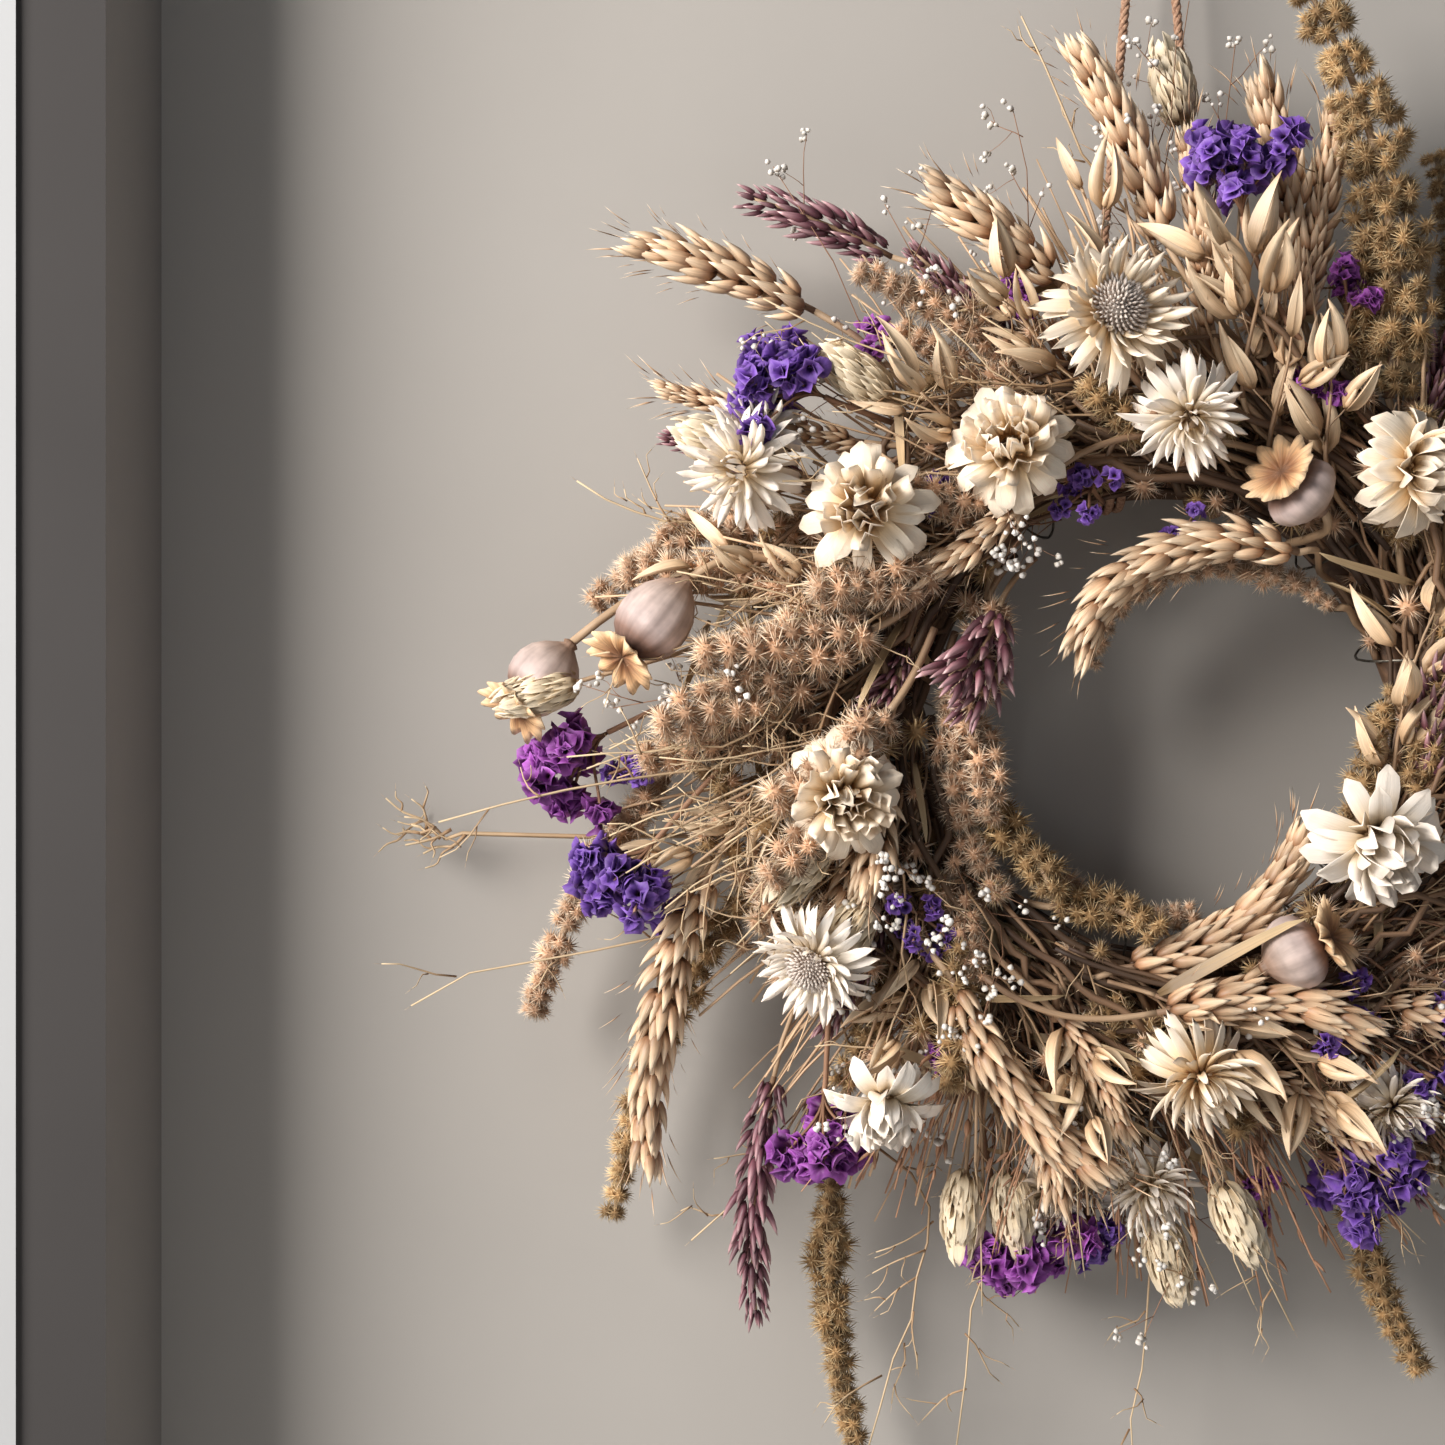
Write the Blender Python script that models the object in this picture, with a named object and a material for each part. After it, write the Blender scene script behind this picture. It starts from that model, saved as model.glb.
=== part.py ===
"""Harvest door wreath: dried stems bound with wire onto a ring of twisted willow rods.

Metres, +Z up, X to the right, the wreath faces -Y. The origin is where the twine loop
bears on its hook. Positions on the ring are given as a clock angle (degrees, counter-
clockwise from +X), a reach outward from the ring's centre line and a lift towards the front.
"""
import math
import bpy
from mathutils import Vector

MM = 0.001

# ---- driving dimensions ----
RING_DROP = 335 * MM          # hook to the ring's centre
RING_RADIUS = 90 * MM         # centre of the ring to the centre line of its rods
ROD_RADIUS = 6.1 * MM         # each willow rod
ROD_COUNT = 3
ROD_TWISTS = 2                # turns the rods make round each other in one lap
WIRE_RADIUS = 0.55 * MM       # binding wire
WIRE_BAYS = 22                # turns of binding wire, one bay of stems between two turns
STEM_RADIUS = 1.1 * MM        # bound end of every stem
TWINE_DIAMETER = 3.4 * MM
HITCH_TURNS = 3
HITCH_SPACING = 20 * MM       # sideways from the middle to each hitch
CLEARANCE = 0.35 * MM         # gap that touching pieces keep
HEAD_SCALE = 1.0              # thickness of the flower heads
DRAWN_BUNDLE = 13.55 * MM     # radius of the bundle that the table of stems is drawn for

# ---- worked out from the driving dimensions ----
ROD_OFFSET = (2 * ROD_RADIUS + 2 * CLEARANCE) / math.sqrt(3)
BUNDLE_RADIUS = ROD_OFFSET + ROD_RADIUS
STEM_BED = BUNDLE_RADIUS + STEM_RADIUS + CLEARANCE
WIRE_PATH = STEM_BED + STEM_RADIUS + WIRE_RADIUS + CLEARANCE
HITCH_PATH = BUNDLE_RADIUS + TWINE_DIAMETER / 2 + CLEARANCE
HITCH_ANGLE = math.degrees(math.asin(HITCH_SPACING / RING_RADIUS))
WIRE_START = 90 + HITCH_ANGLE + 9
WIRE_SWEEP = 360 - 2 * (HITCH_ANGLE + 9)
BAY = WIRE_SWEEP / WIRE_BAYS

ROD_POINTS = 44
WIRE_POINTS_PER_TURN = 8
TAIL = 7                      # degrees of ring that a bound stem lies along

# where each row of stems lies round the bundle: 0 is outward, 90 is the front, 180 inward
ROWS = {"rear": -14, "outer": 16, "middle": 48, "front": 85, "inner": 150}

LEADS = {"rear": 22, "outer": 20, "middle": 20, "front": 14, "inner": 16}
LEAST_LEAD = 3                # degrees that a stem runs free, at least
STEM_STEPS = 4
HEAD_STEPS = 6

# The twine's route from the left hitch to the right one, in mm from the hook.
TWINE_ROUTE = [
    (-20.0, 7.6, -228.5), (-18.4, 7.2, -205), (-15.8, 6.4, -172), (-12.9, 5.4, -138),
    (-10.0, 4.3, -104), (-7.2, 3.2, -72), (-4.6, 2.0, -46), (-2.6, 0.8, -31),
    (-2.2, 0.0, -24), (-3.6, 0.0, -17.5), (-7.0, 0.0, -10.5), (-7.2, 0.0, -3.2),
    (-3.9, 0.0, 0.9), (0.0, 0.0, 1.9), (3.9, 0.0, 0.9), (7.2, 0.0, -3.2),
    (7.0, 0.0, -10.5), (3.6, 0.0, -17.5), (2.2, 0.0, -24), (2.6, 0.8, -31),
    (4.6, 2.0, -46), (7.2, 3.2, -72), (10.0, 4.3, -104), (12.9, 5.4, -138),
    (15.8, 6.4, -172), (18.4, 7.2, -205), (20.0, 7.6, -228.5)]
TWINE_POINTS = 72
KNOT_HEIGHT = (-33.5 * MM, -24.0 * MM)
KNOT_TURNS = 2.5

# Head profiles: share of the head's length, radius in mm.
PROFILES = {
    "wheat": [(0, 2.2), (0.12, 5.6), (0.4, 7.0), (0.75, 6.0), (1, 2.0)],
    "amaranth": [(0, 2.4), (0.1, 6.0), (0.35, 8.5), (0.65, 8.0), (0.9, 5.5), (1, 2.4)],
    "strawflower": [(0, 2.0), (0.3, 7.5), (0.6, 15.5), (0.8, 17.5), (1, 11)],
    "statice": [(0, 2.0), (0.25, 7.5), (0.6, 11), (0.9, 9.5), (1, 5)],
    "poppy": [(0, 2.2), (0.12, 7.5), (0.4, 12.5), (0.68, 11), (0.82, 5.2), (0.9, 8.6), (1, 6.5)],
    "grass": [(0, 1.6), (0.2, 4.2), (0.6, 5.0), (1, 1.6)],
    "oat": [(0, 1.4), (0.3, 5.0), (0.7, 6.0), (1, 2.0)],
    "twig": [(0, 1.0), (0.5, 0.8), (1, 0.6)],
}

# name, profile, row, base (clock angle, reach, lift), tip (clock angle, reach, lift)
# Reach and lift are in mm. Every stem is bound in the first free bay behind its head.
STEMS = [
    ("wheat_ear_01", "wheat", "outer", (90, 67, 26), (97, 131, 24)),
    ("wheat_ear_02", "wheat", "outer", (72, 58, 14), (81, 123, 16)),
    ("wheat_ear_03", "wheat", "middle", (104, 58, 30), (113, 98, 30)),
    ("wheat_ear_04", "wheat", "outer", (130, 90, 16), (137, 143, 18)),
    ("wheat_ear_05", "wheat", "middle", (198, 68, 26), (219, 130, 26)),
    ("wheat_ear_06", "wheat", "middle", (228, 19, 42), (259, 54, 44)),
    ("wheat_ear_07", "wheat", "front", (258, -9, 30), (316, -32, 27)),
    ("wheat_ear_08", "wheat", "inner", (55, -22, 40), (136, -49, 38)),
    ("wheat_ear_09", "wheat", "rear", (322, 60, 12), (336, 132, 16)),
    ("wheat_ear_10", "wheat", "rear", (22, 66, 12), (39, 134, 16)),
    ("amaranth_plume_01", "amaranth", "outer", (56, 40, 24), (80, 155, 34)),
    ("amaranth_plume_02", "amaranth", "rear", (46, 50, 10), (64, 122, 10)),
    ("amaranth_plume_03", "amaranth", "middle", (111, 34, 23), (125, 90, 33)),
    ("amaranth_plume_04", "amaranth", "rear", (152, 68, 8), (168, 104, 8)),
    ("amaranth_plume_05", "amaranth", "front", (156, 18, 40), (182, 66, 44)),
    ("amaranth_plume_06", "amaranth", "rear", (186, 76, 4), (205, 142, 6)),
    ("amaranth_plume_07", "amaranth", "rear", (202, 56, 4), (222, 156, 4)),
    ("amaranth_plume_08", "amaranth", "rear", (234, 96, 6), (248, 176, 8)),
    ("amaranth_plume_09", "amaranth", "inner", (160, -22, 28), (226, -12, 30)),
    ("amaranth_plume_10", "amaranth", "inner", (222, -25, 16), (280, -26, 16)),
    ("amaranth_plume_11", "amaranth", "inner", (35, -22, 22), (140, -58, 20)),
    ("amaranth_plume_12", "amaranth", "rear", (298, 56, 8), (317, 148, 10)),
    ("amaranth_plume_13", "amaranth", "rear", (2, 56, 8), (20, 150, 12)),
    ("strawflower_01", "strawflower", "front", (98, 38, 44), (99, 44, 58)),
    ("strawflower_02", "strawflower", "front", (126, 10, 42), (122, 15, 57)),
    ("strawflower_03", "strawflower", "front", (88, 4, 44), (89, 6, 58)),
    ("strawflower_04", "strawflower", "front", (45, 17, 42), (47, 21, 56)),
    ("strawflower_05", "strawflower", "middle", (149, 68, 36), (150, 74, 50)),
    ("strawflower_06", "strawflower", "middle", (145, 30, 44), (146, 33, 58)),
    ("strawflower_07", "strawflower", "front", (190, 16, 46), (192, 20, 60)),
    ("strawflower_08", "strawflower", "front", (212, 46, 38), (213, 52, 52)),
    ("strawflower_09", "strawflower", "front", (327, -14, 40), (329, -17, 54)),
    ("strawflower_10", "strawflower", "front", (231, 58, 39), (232, 64, 53)),
    ("strawflower_11", "strawflower", "front", (272, 20, 42), (273, 23, 56)),
    ("strawflower_12", "strawflower", "front", (2, 22, 44), (4, 26, 58)),
    ("strawflower_13", "strawflower", "outer", (28, 48, 40), (29, 54, 54)),
    ("statice_sprig_01", "statice", "middle", (82, 72, 36), (86, 112, 40)),
    ("statice_sprig_02", "statice", "rear", (136, 62, 30), (141, 100, 34)),
    ("statice_sprig_03", "statice", "outer", (180, 90, 10), (187, 138, 12)),
    ("statice_sprig_04", "statice", "middle", (192, 80, 30), (199, 110, 32)),
    ("statice_sprig_05", "statice", "middle", (226, 72, 26), (234, 104, 28)),
    ("statice_sprig_06", "statice", "outer", (250, 74, 18), (259, 116, 20)),
    ("statice_sprig_07", "statice", "middle", (288, 52, 26), (298, 96, 30)),
    ("statice_sprig_08", "statice", "middle", (345, 60, 28), (354, 104, 32)),
    ("poppy_head_01", "poppy", "middle", (163, 74, 36), (174, 92, 40)),
    ("poppy_head_02", "poppy", "outer", (172, 108, 20), (179, 126, 22)),
    ("poppy_head_03", "poppy", "inner", (56, -8, 46), (70, -4, 50)),
    ("poppy_head_04", "poppy", "front", (288, -8, 46), (306, -8, 48)),
    ("plum_grass_01", "grass", "rear", (120, 90, 16), (128, 132, 18)),
    ("plum_grass_02", "grass", "outer", (222, 84, 18), (235, 146, 20)),
    ("oat_spray_01", "oat", "middle", (72, 27, 33), (84, 62, 43)),
    ("twig_spray_01", "twig", "rear", (194, 70, -9), (188, 167, -6)),
]

COLOURS = {
    "willow": ((0.20, 0.12, 0.07), 0.7, 0.0),
    "wire": ((0.35, 0.33, 0.30), 0.4, 0.9),
    "twine": ((0.45, 0.31, 0.22), 0.9, 0.0),
    "wheat": ((0.58, 0.43, 0.27), 0.7, 0.0),
    "amaranth": ((0.36, 0.22, 0.14), 0.9, 0.0),
    "strawflower": ((0.75, 0.62, 0.49), 0.6, 0.0),
    "statice": ((0.17, 0.06, 0.28), 0.8, 0.0),
    "poppy": ((0.47, 0.30, 0.22), 0.7, 0.0),
    "grass": ((0.19, 0.08, 0.11), 0.8, 0.0),
    "oat": ((0.62, 0.48, 0.32), 0.6, 0.0),
    "twig": ((0.30, 0.20, 0.12), 0.8, 0.0),
}


def clear_scene():
    for old in list(bpy.data.objects):
        bpy.data.objects.remove(old, do_unlink=True)


def make_materials():
    made = {}
    for name, (colour, roughness, metallic) in COLOURS.items():
        material = bpy.data.materials.new(name)
        material.use_nodes = True
        shader = material.node_tree.nodes["Principled BSDF"]
        shader.inputs["Base Color"].default_value = (*colour, 1)
        shader.inputs["Roughness"].default_value = roughness
        shader.inputs["Metallic"].default_value = metallic
        made[name] = material
    return made


def on_ring(angle, reach, lift):
    """A point beside the ring: clock angle in degrees, reach and lift in metres."""
    turn = math.radians(angle)
    r = RING_RADIUS + reach
    return Vector((r * math.cos(turn), -lift, r * math.sin(turn) - RING_DROP))


def round_bundle(angle, row_angle, distance):
    """A point at a distance from the ring's centre line, at an angle round its bundle."""
    turn = math.radians(row_angle)
    return on_ring(angle, distance * math.cos(turn), distance * math.sin(turn))


def beside_ring(place):
    """A head's point from the table, moved out with the bundle when that is thicker."""
    angle, reach, lift = place
    far = math.hypot(reach, lift)
    share = (far * MM + BUNDLE_RADIUS - DRAWN_BUNDLE) / far
    return on_ring(angle, reach * share, lift * share)


def along_ring(angle):
    turn = math.radians(angle)
    return Vector((-math.sin(turn), 0, math.cos(turn)))


def tube(name, points, radii, material, sides=6, cyclic=False):
    """A swept round tube through points, one radius a point, closed by flat caps."""
    curve = bpy.data.curves.new(name, "CURVE")
    curve.dimensions = "3D"
    curve.bevel_depth = 1.0
    curve.bevel_resolution = sides // 2 - 2
    curve.use_fill_caps = True
    curve.twist_mode = "MINIMUM"
    spline = curve.splines.new("POLY")
    spline.points.add(len(points) - 1)
    for spot, place, radius in zip(spline.points, points, radii):
        spot.co = (*place, 1)
        spot.radius = radius
    spline.use_cyclic_u = cyclic
    curve.materials.append(material)
    piece = bpy.data.objects.new(name, curve)
    bpy.context.collection.objects.link(piece)
    return piece


def bezier(start, lead, trail, end, t):
    s = 1 - t
    return start * s ** 3 + lead * 3 * s * s * t + trail * 3 * s * t * t + end * t ** 3


def smooth_route(points, count):
    """Evenly spaced points on a Catmull-Rom curve through hand-chosen ones."""
    dense = []
    last = len(points) - 1
    for i in range(last):
        before = points[max(i - 1, 0)]
        after = points[min(i + 2, last)]
        lead = points[i] + (points[i + 1] - before) / 6
        trail = points[i + 1] - (after - points[i]) / 6
        dense += [bezier(points[i], lead, trail, points[i + 1], k / 12) for k in range(12)]
    dense.append(points[last])
    travelled = [0.0]
    for a, b in zip(dense, dense[1:]):
        travelled.append(travelled[-1] + (b - a).length)
    even = []
    at = 0
    for k in range(count):
        target = travelled[-1] * k / (count - 1)
        while at < len(dense) - 2 and travelled[at + 1] < target:
            at += 1
        share = (target - travelled[at]) / (travelled[at + 1] - travelled[at])
        even.append(dense[at].lerp(dense[at + 1], min(max(share, 0), 1)))
    return even


def ring_rods(materials):
    for rod in range(ROD_COUNT):
        points = []
        for k in range(ROD_POINTS):
            angle = 360 * k / ROD_POINTS
            phase = ROD_TWISTS * angle + 360 * rod / ROD_COUNT
            points.append(round_bundle(angle, phase, ROD_OFFSET))
        tube(f"ring_rod_{rod + 1}", points, [ROD_RADIUS] * ROD_POINTS,
             materials["willow"], sides=8, cyclic=True)


def binding_wire(materials):
    steps = WIRE_BAYS * WIRE_POINTS_PER_TURN
    flat = 1 / math.cos(math.pi / WIRE_POINTS_PER_TURN)
    points = [round_bundle(WIRE_START + WIRE_SWEEP * k / steps,
                           360 * k / WIRE_POINTS_PER_TURN, WIRE_PATH * flat)
              for k in range(steps + 1)]
    tube("binding_wire", points, [WIRE_RADIUS] * len(points), materials["wire"], sides=4)


def twine_hitch(name, angle, materials):
    per_turn = 10
    steps = HITCH_TURNS * per_turn
    pitch = math.degrees((TWINE_DIAMETER + CLEARANCE) / (RING_RADIUS - HITCH_PATH))
    points = []
    for k in range(steps + 1):
        turns = k / per_turn
        points.append(round_bundle(angle + pitch * (turns - HITCH_TURNS / 2),
                                   60 + 360 * turns, HITCH_PATH * 1.05))
    tube(name, points, [TWINE_DIAMETER / 2] * len(points), materials["twine"], sides=6)


def hanging_twine(materials):
    route = [Vector(spot) * MM for spot in TWINE_ROUTE]
    points = smooth_route(route, TWINE_POINTS)
    tube("hanging_twine", points, [TWINE_DIAMETER / 2] * TWINE_POINTS,
         materials["twine"], sides=8)


def twine_knot(materials):
    """The whipping that gathers both legs under the eye: an oval coil round them."""
    per_turn = 12
    steps = int(KNOT_TURNS * per_turn)
    low, high = KNOT_HEIGHT
    reach_y = TWINE_DIAMETER + 5 * CLEARANCE
    reach_x = reach_y + 3.2 * MM
    points = []
    for k in range(steps + 1):
        turn = 2 * math.pi * k / per_turn
        points.append(Vector((reach_x * math.cos(turn), reach_y * math.sin(turn),
                              low + (high - low) * k / steps)))
    tube("twine_knot", points, [TWINE_DIAMETER / 2] * len(points), materials["twine"], sides=6)


def free_bay(row, head_angle, taken):
    """The clock angle of a free bay of the row, as near as can be to its lead behind the head."""
    best = None
    for bay in range(WIRE_BAYS):
        angle = WIRE_START + BAY * (bay + 0.5 + ROWS[row] / 360)
        behind = (head_angle - angle) % 360
        if (row, bay) in taken or behind < LEAST_LEAD:
            continue
        if best is None or abs(behind - LEADS[row]) < best[0]:
            best = (abs(behind - LEADS[row]), bay, angle)
    taken.add((row, best[1]))
    return best[2]


def bound_stem(name, profile, row, base, tip, taken, materials):
    """A stem bound to the ring, then its head along a gentle arc from base to tip."""
    base_point = beside_ring(base)
    tip_point = beside_ring(tip)
    head_way = (tip_point - base_point).normalized()
    leave = free_bay(row, base[0], taken)
    row_angle = ROWS[row]
    tail_point = round_bundle(leave - TAIL, row_angle, STEM_BED)
    leave_point = round_bundle(leave, row_angle, STEM_BED)
    away = leave_point - round_bundle(leave, row_angle, 0)
    start_way = (along_ring(leave) + away.normalized() * 1.05).normalized()
    gap = (base_point - leave_point).length
    points = [tail_point, round_bundle(leave - TAIL / 2, row_angle, STEM_BED)]
    for k in range(STEM_STEPS):
        points.append(bezier(leave_point, leave_point + start_way * gap * 0.4,
                             base_point - head_way * gap * 0.35, base_point, k / STEM_STEPS))
    radii = [STEM_RADIUS] * len(points)
    swing = (tip[0] - base[0] + 180) % 360 - 180
    steps = HEAD_STEPS if swing < 40 else 2 * HEAD_STEPS
    for k in range(steps + 1):
        t = k / steps
        points.append(beside_ring((base[0] + swing * t, base[1] + (tip[1] - base[1]) * t,
                                   base[2] + (tip[2] - base[2]) * t)))
        radii.append(head_radius(profile, t))
    tube(name, points, radii, materials[profile], sides=6)


def head_radius(profile, t):
    shape = PROFILES[profile]
    for (t0, r0), (t1, r1) in zip(shape, shape[1:]):
        if t <= t1:
            return (r0 + (r1 - r0) * (t - t0) / (t1 - t0)) * MM * HEAD_SCALE
    return shape[-1][1] * MM * HEAD_SCALE


def build():
    clear_scene()
    materials = make_materials()
    ring_rods(materials)
    binding_wire(materials)
    twine_hitch("twine_hitch_left", 90 + HITCH_ANGLE, materials)
    twine_hitch("twine_hitch_right", 90 - HITCH_ANGLE, materials)
    hanging_twine(materials)
    twine_knot(materials)
    taken = set()
    for name, profile, row, base, tip in STEMS:
        bound_stem(name, profile, row, base, tip, taken, materials)


build()
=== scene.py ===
# %% [markdown]
# Harvest door wreath.
# A real one is a hoop of willow rods with bunches of dried stems laid on it and bound with
# wire. The hoop, the wire, the twine and the place of every main stem come from the CAD
# frame. This file gives each of them its real surface: husks, bristles, bracts and petals.

# %% Load the frame
import math
import random

import bmesh
import bpy
import numpy as np
from mathutils import Matrix, Vector


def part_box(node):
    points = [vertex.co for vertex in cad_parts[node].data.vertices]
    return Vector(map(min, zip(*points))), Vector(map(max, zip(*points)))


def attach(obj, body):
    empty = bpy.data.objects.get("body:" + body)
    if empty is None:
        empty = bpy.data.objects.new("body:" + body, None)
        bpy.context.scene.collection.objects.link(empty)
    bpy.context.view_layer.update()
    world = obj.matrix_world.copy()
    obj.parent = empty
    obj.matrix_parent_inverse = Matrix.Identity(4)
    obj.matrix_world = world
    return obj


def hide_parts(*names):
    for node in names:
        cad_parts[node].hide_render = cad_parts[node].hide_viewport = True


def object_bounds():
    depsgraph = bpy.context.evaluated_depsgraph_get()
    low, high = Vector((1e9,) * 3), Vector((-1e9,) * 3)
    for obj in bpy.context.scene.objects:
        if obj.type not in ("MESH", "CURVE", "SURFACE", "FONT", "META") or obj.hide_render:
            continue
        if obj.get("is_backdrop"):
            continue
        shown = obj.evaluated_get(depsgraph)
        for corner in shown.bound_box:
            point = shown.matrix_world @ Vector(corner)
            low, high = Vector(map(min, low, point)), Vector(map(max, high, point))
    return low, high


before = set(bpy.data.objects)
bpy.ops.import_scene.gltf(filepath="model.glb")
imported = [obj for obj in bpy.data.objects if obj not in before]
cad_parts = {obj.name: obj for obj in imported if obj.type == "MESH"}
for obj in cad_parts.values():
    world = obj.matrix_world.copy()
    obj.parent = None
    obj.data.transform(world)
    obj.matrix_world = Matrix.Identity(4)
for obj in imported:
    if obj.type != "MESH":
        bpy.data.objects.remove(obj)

MM = 0.001
CAD_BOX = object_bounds()
print("CAD box", [tuple(round(x, 4) for x in corner) for corner in CAD_BOX])

# %% [markdown]
# Everything is placed by clock angle round the hoop, so the hoop's centre and its radius are
# measured first. The rods' box gives both: its depth is the thickness of the bundle.

# %% Measure the hoop
rod_names = sorted(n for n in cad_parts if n.startswith("ring_rod"))
rod_corners = [corner for n in rod_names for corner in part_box(n)]
hoop_low = Vector([min(c[i] for c in rod_corners) for i in range(3)])
hoop_high = Vector([max(c[i] for c in rod_corners) for i in range(3)])
HOOP_CENTRE = (hoop_low + hoop_high) / 2
BUNDLE = (hoop_high.y - hoop_low.y) / 2
HOOP_RADIUS = (hoop_high.x - hoop_low.x) / 2 - BUNDLE
FRONT = Vector((0, -1, 0))
print("hoop centre", HOOP_CENTRE, "radius", round(HOOP_RADIUS, 4), "bundle", round(BUNDLE, 4))


def on_hoop(angle, reach, lift):
    """A point by clock angle in degrees, reach outward and lift to the front, in mm."""
    turn = math.radians(angle)
    r = HOOP_RADIUS + reach * MM
    return HOOP_CENTRE + Vector((r * math.cos(turn), -lift * MM, r * math.sin(turn)))


# %% [markdown]
# Every material is made of shader nodes. These helpers add a node with its inputs set, a
# ramp of colours and a relief, so that each material below says only what is its own.

# %% Shader helpers
def srgb(r, g, b):
    """The linear colour of a screen colour given as 0 to 255."""
    return tuple((x / 255 / 12.92) if x < 11 else ((x / 255 + 0.055) / 1.055) ** 2.4
                 for x in (r, g, b)) + (1.0,)


def add_node(tree, kind, **given):
    """A shader node. Each input is given as a value, or as a socket to link to it."""
    made = tree.nodes.new("ShaderNode" + kind)
    for label, value in given.items():
        if isinstance(value, bpy.types.NodeSocket):
            tree.links.new(value, made.inputs[label])
        else:
            made.inputs[label].default_value = value
    return made


def maths(tree, operation, *values):
    """The result of a Math node; each value is a socket or a number."""
    made = tree.nodes.new("ShaderNodeMath")
    made.operation = operation
    for socket, value in zip(made.inputs, values):
        if isinstance(value, (int, float)):
            socket.default_value = value
        else:
            tree.links.new(value, socket)
    return made.outputs[0]


def colour_ramp(tree, factor, colours):
    """A colour that follows a factor; colours are (share, screen colour)."""
    made = add_node(tree, "ValToRGB", Fac=factor)
    bar = made.color_ramp.elements
    while len(bar) < len(colours):
        bar.new(0.5)
    for element, (share, colour) in zip(bar, colours):
        element.position = share
        element.color = srgb(*colour)
    return made.outputs["Color"]


def relief(tree, shader, height, strength, distance):
    """Presses a height into a shader as small bumps."""
    bump = add_node(tree, "Bump", Strength=strength, Distance=distance, Height=height)
    tree.links.new(bump.outputs["Normal"], shader.inputs["Normal"])


def new_material(name):
    """A material, its node tree and its main shader."""
    material = bpy.data.materials.new(name)
    material.use_nodes = True
    return material, material.node_tree, material.node_tree.nodes["Principled BSDF"]


print("red in linear light", round(srgb(255, 0, 0)[0], 3))

# %% [markdown]
# The view is level and a little left of the wreath, with a normal lens. The light is one
# large soft window at the upper left and a weak fill. A third lamp lights the back.

# %% Camera and lights
CAMERA_DISTANCE = 0.750
CAMERA_LEFT = 0.1464          # from the middle of the hoop
VIEW_WIDTH = 0.4913           # at the hoop
camera_data = bpy.data.cameras.new("camera")
camera_data.sensor_width = 36
camera_data.lens = camera_data.sensor_width * CAMERA_DISTANCE / VIEW_WIDTH
camera = bpy.data.objects.new("camera", camera_data)
camera.location = HOOP_CENTRE + Vector((-CAMERA_LEFT, -CAMERA_DISTANCE, 1 * MM))
camera.rotation_euler = (math.radians(90), 0, 0)
bpy.context.collection.objects.link(camera)
bpy.context.scene.camera = camera


def add_light(name, place, size, power, colour):
    """A soft rectangular lamp that points at the hoop."""
    lamp = bpy.data.lights.new(name, "AREA")
    lamp.shape = "RECTANGLE"
    lamp.size, lamp.size_y = size
    lamp.energy = power
    lamp.color = colour
    holder = bpy.data.objects.new(name, lamp)
    holder.location = place
    holder.rotation_euler = (HOOP_CENTRE - Vector(place)).to_track_quat("-Z", "Y").to_euler()
    bpy.context.collection.objects.link(holder)


add_light("window", (-1.35, -0.95, 0.22), (1.0, 0.8), 52, (1.0, 0.965, 0.93))
add_light("fill", (0.3, -1.2, -1.2), (1.4, 1.4), 4.6, (0.78, 0.89, 1.0))
add_light("rear", (-0.7, 1.3, 0.1), (1.2, 1.2), 7.0, (1.0, 0.98, 0.95))

world = bpy.data.worlds.new("studio")
world.use_nodes = True
world.node_tree.nodes["Background"].inputs["Color"].default_value = (0.74, 0.82, 0.94, 1)
world.node_tree.nodes["Background"].inputs["Strength"].default_value = 0.145
bpy.context.scene.world = world
bpy.context.scene.view_settings.view_transform = "Standard"
print("lamps", len(bpy.data.lights))

# %% [markdown]
# A plain wall stands just behind the wreath to catch its shadow, and a door jamb stands at its
# left, its front painted dark as painted shade for the recess beside the window frame. They can
# be seen from the front only, so that the back of the wreath can be looked at too.

# %% Wall, jamb and floor
def plaster(name, colour, one_sided, shades):
    """Uneven paint. One-sided paint is clear from behind, to shadow rays too unless it shades."""
    material, tree, shader = new_material(name)
    shader.inputs["Roughness"].default_value = 0.9
    noise = add_node(tree, "TexNoise", Scale=9, Detail=5,
                     Vector=add_node(tree, "TexCoord").outputs["Object"]).outputs["Fac"]
    uneven = [(end, [c - 4 + 8 * end for c in colour]) for end in (0, 1)]
    tree.links.new(colour_ramp(tree, noise, uneven), shader.inputs["Base Color"])
    relief(tree, shader, noise, 0.15, 2 * MM)
    if one_sided:
        spared = add_node(tree, "LightPath").outputs["Is Shadow Ray"] if shades else 0
        clear = maths(tree, "SUBTRACT",
                      add_node(tree, "NewGeometry").outputs["Backfacing"], spared)
        clear.node.use_clamp = True
        mix = add_node(tree, "MixShader", Fac=clear)
        tree.links.new(shader.outputs["BSDF"], mix.inputs[1])
        tree.links.new(add_node(tree, "BsdfTransparent").outputs["BSDF"], mix.inputs[2])
        tree.links.new(mix.outputs["Shader"], tree.nodes["Material Output"].inputs["Surface"])
    return material


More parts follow.
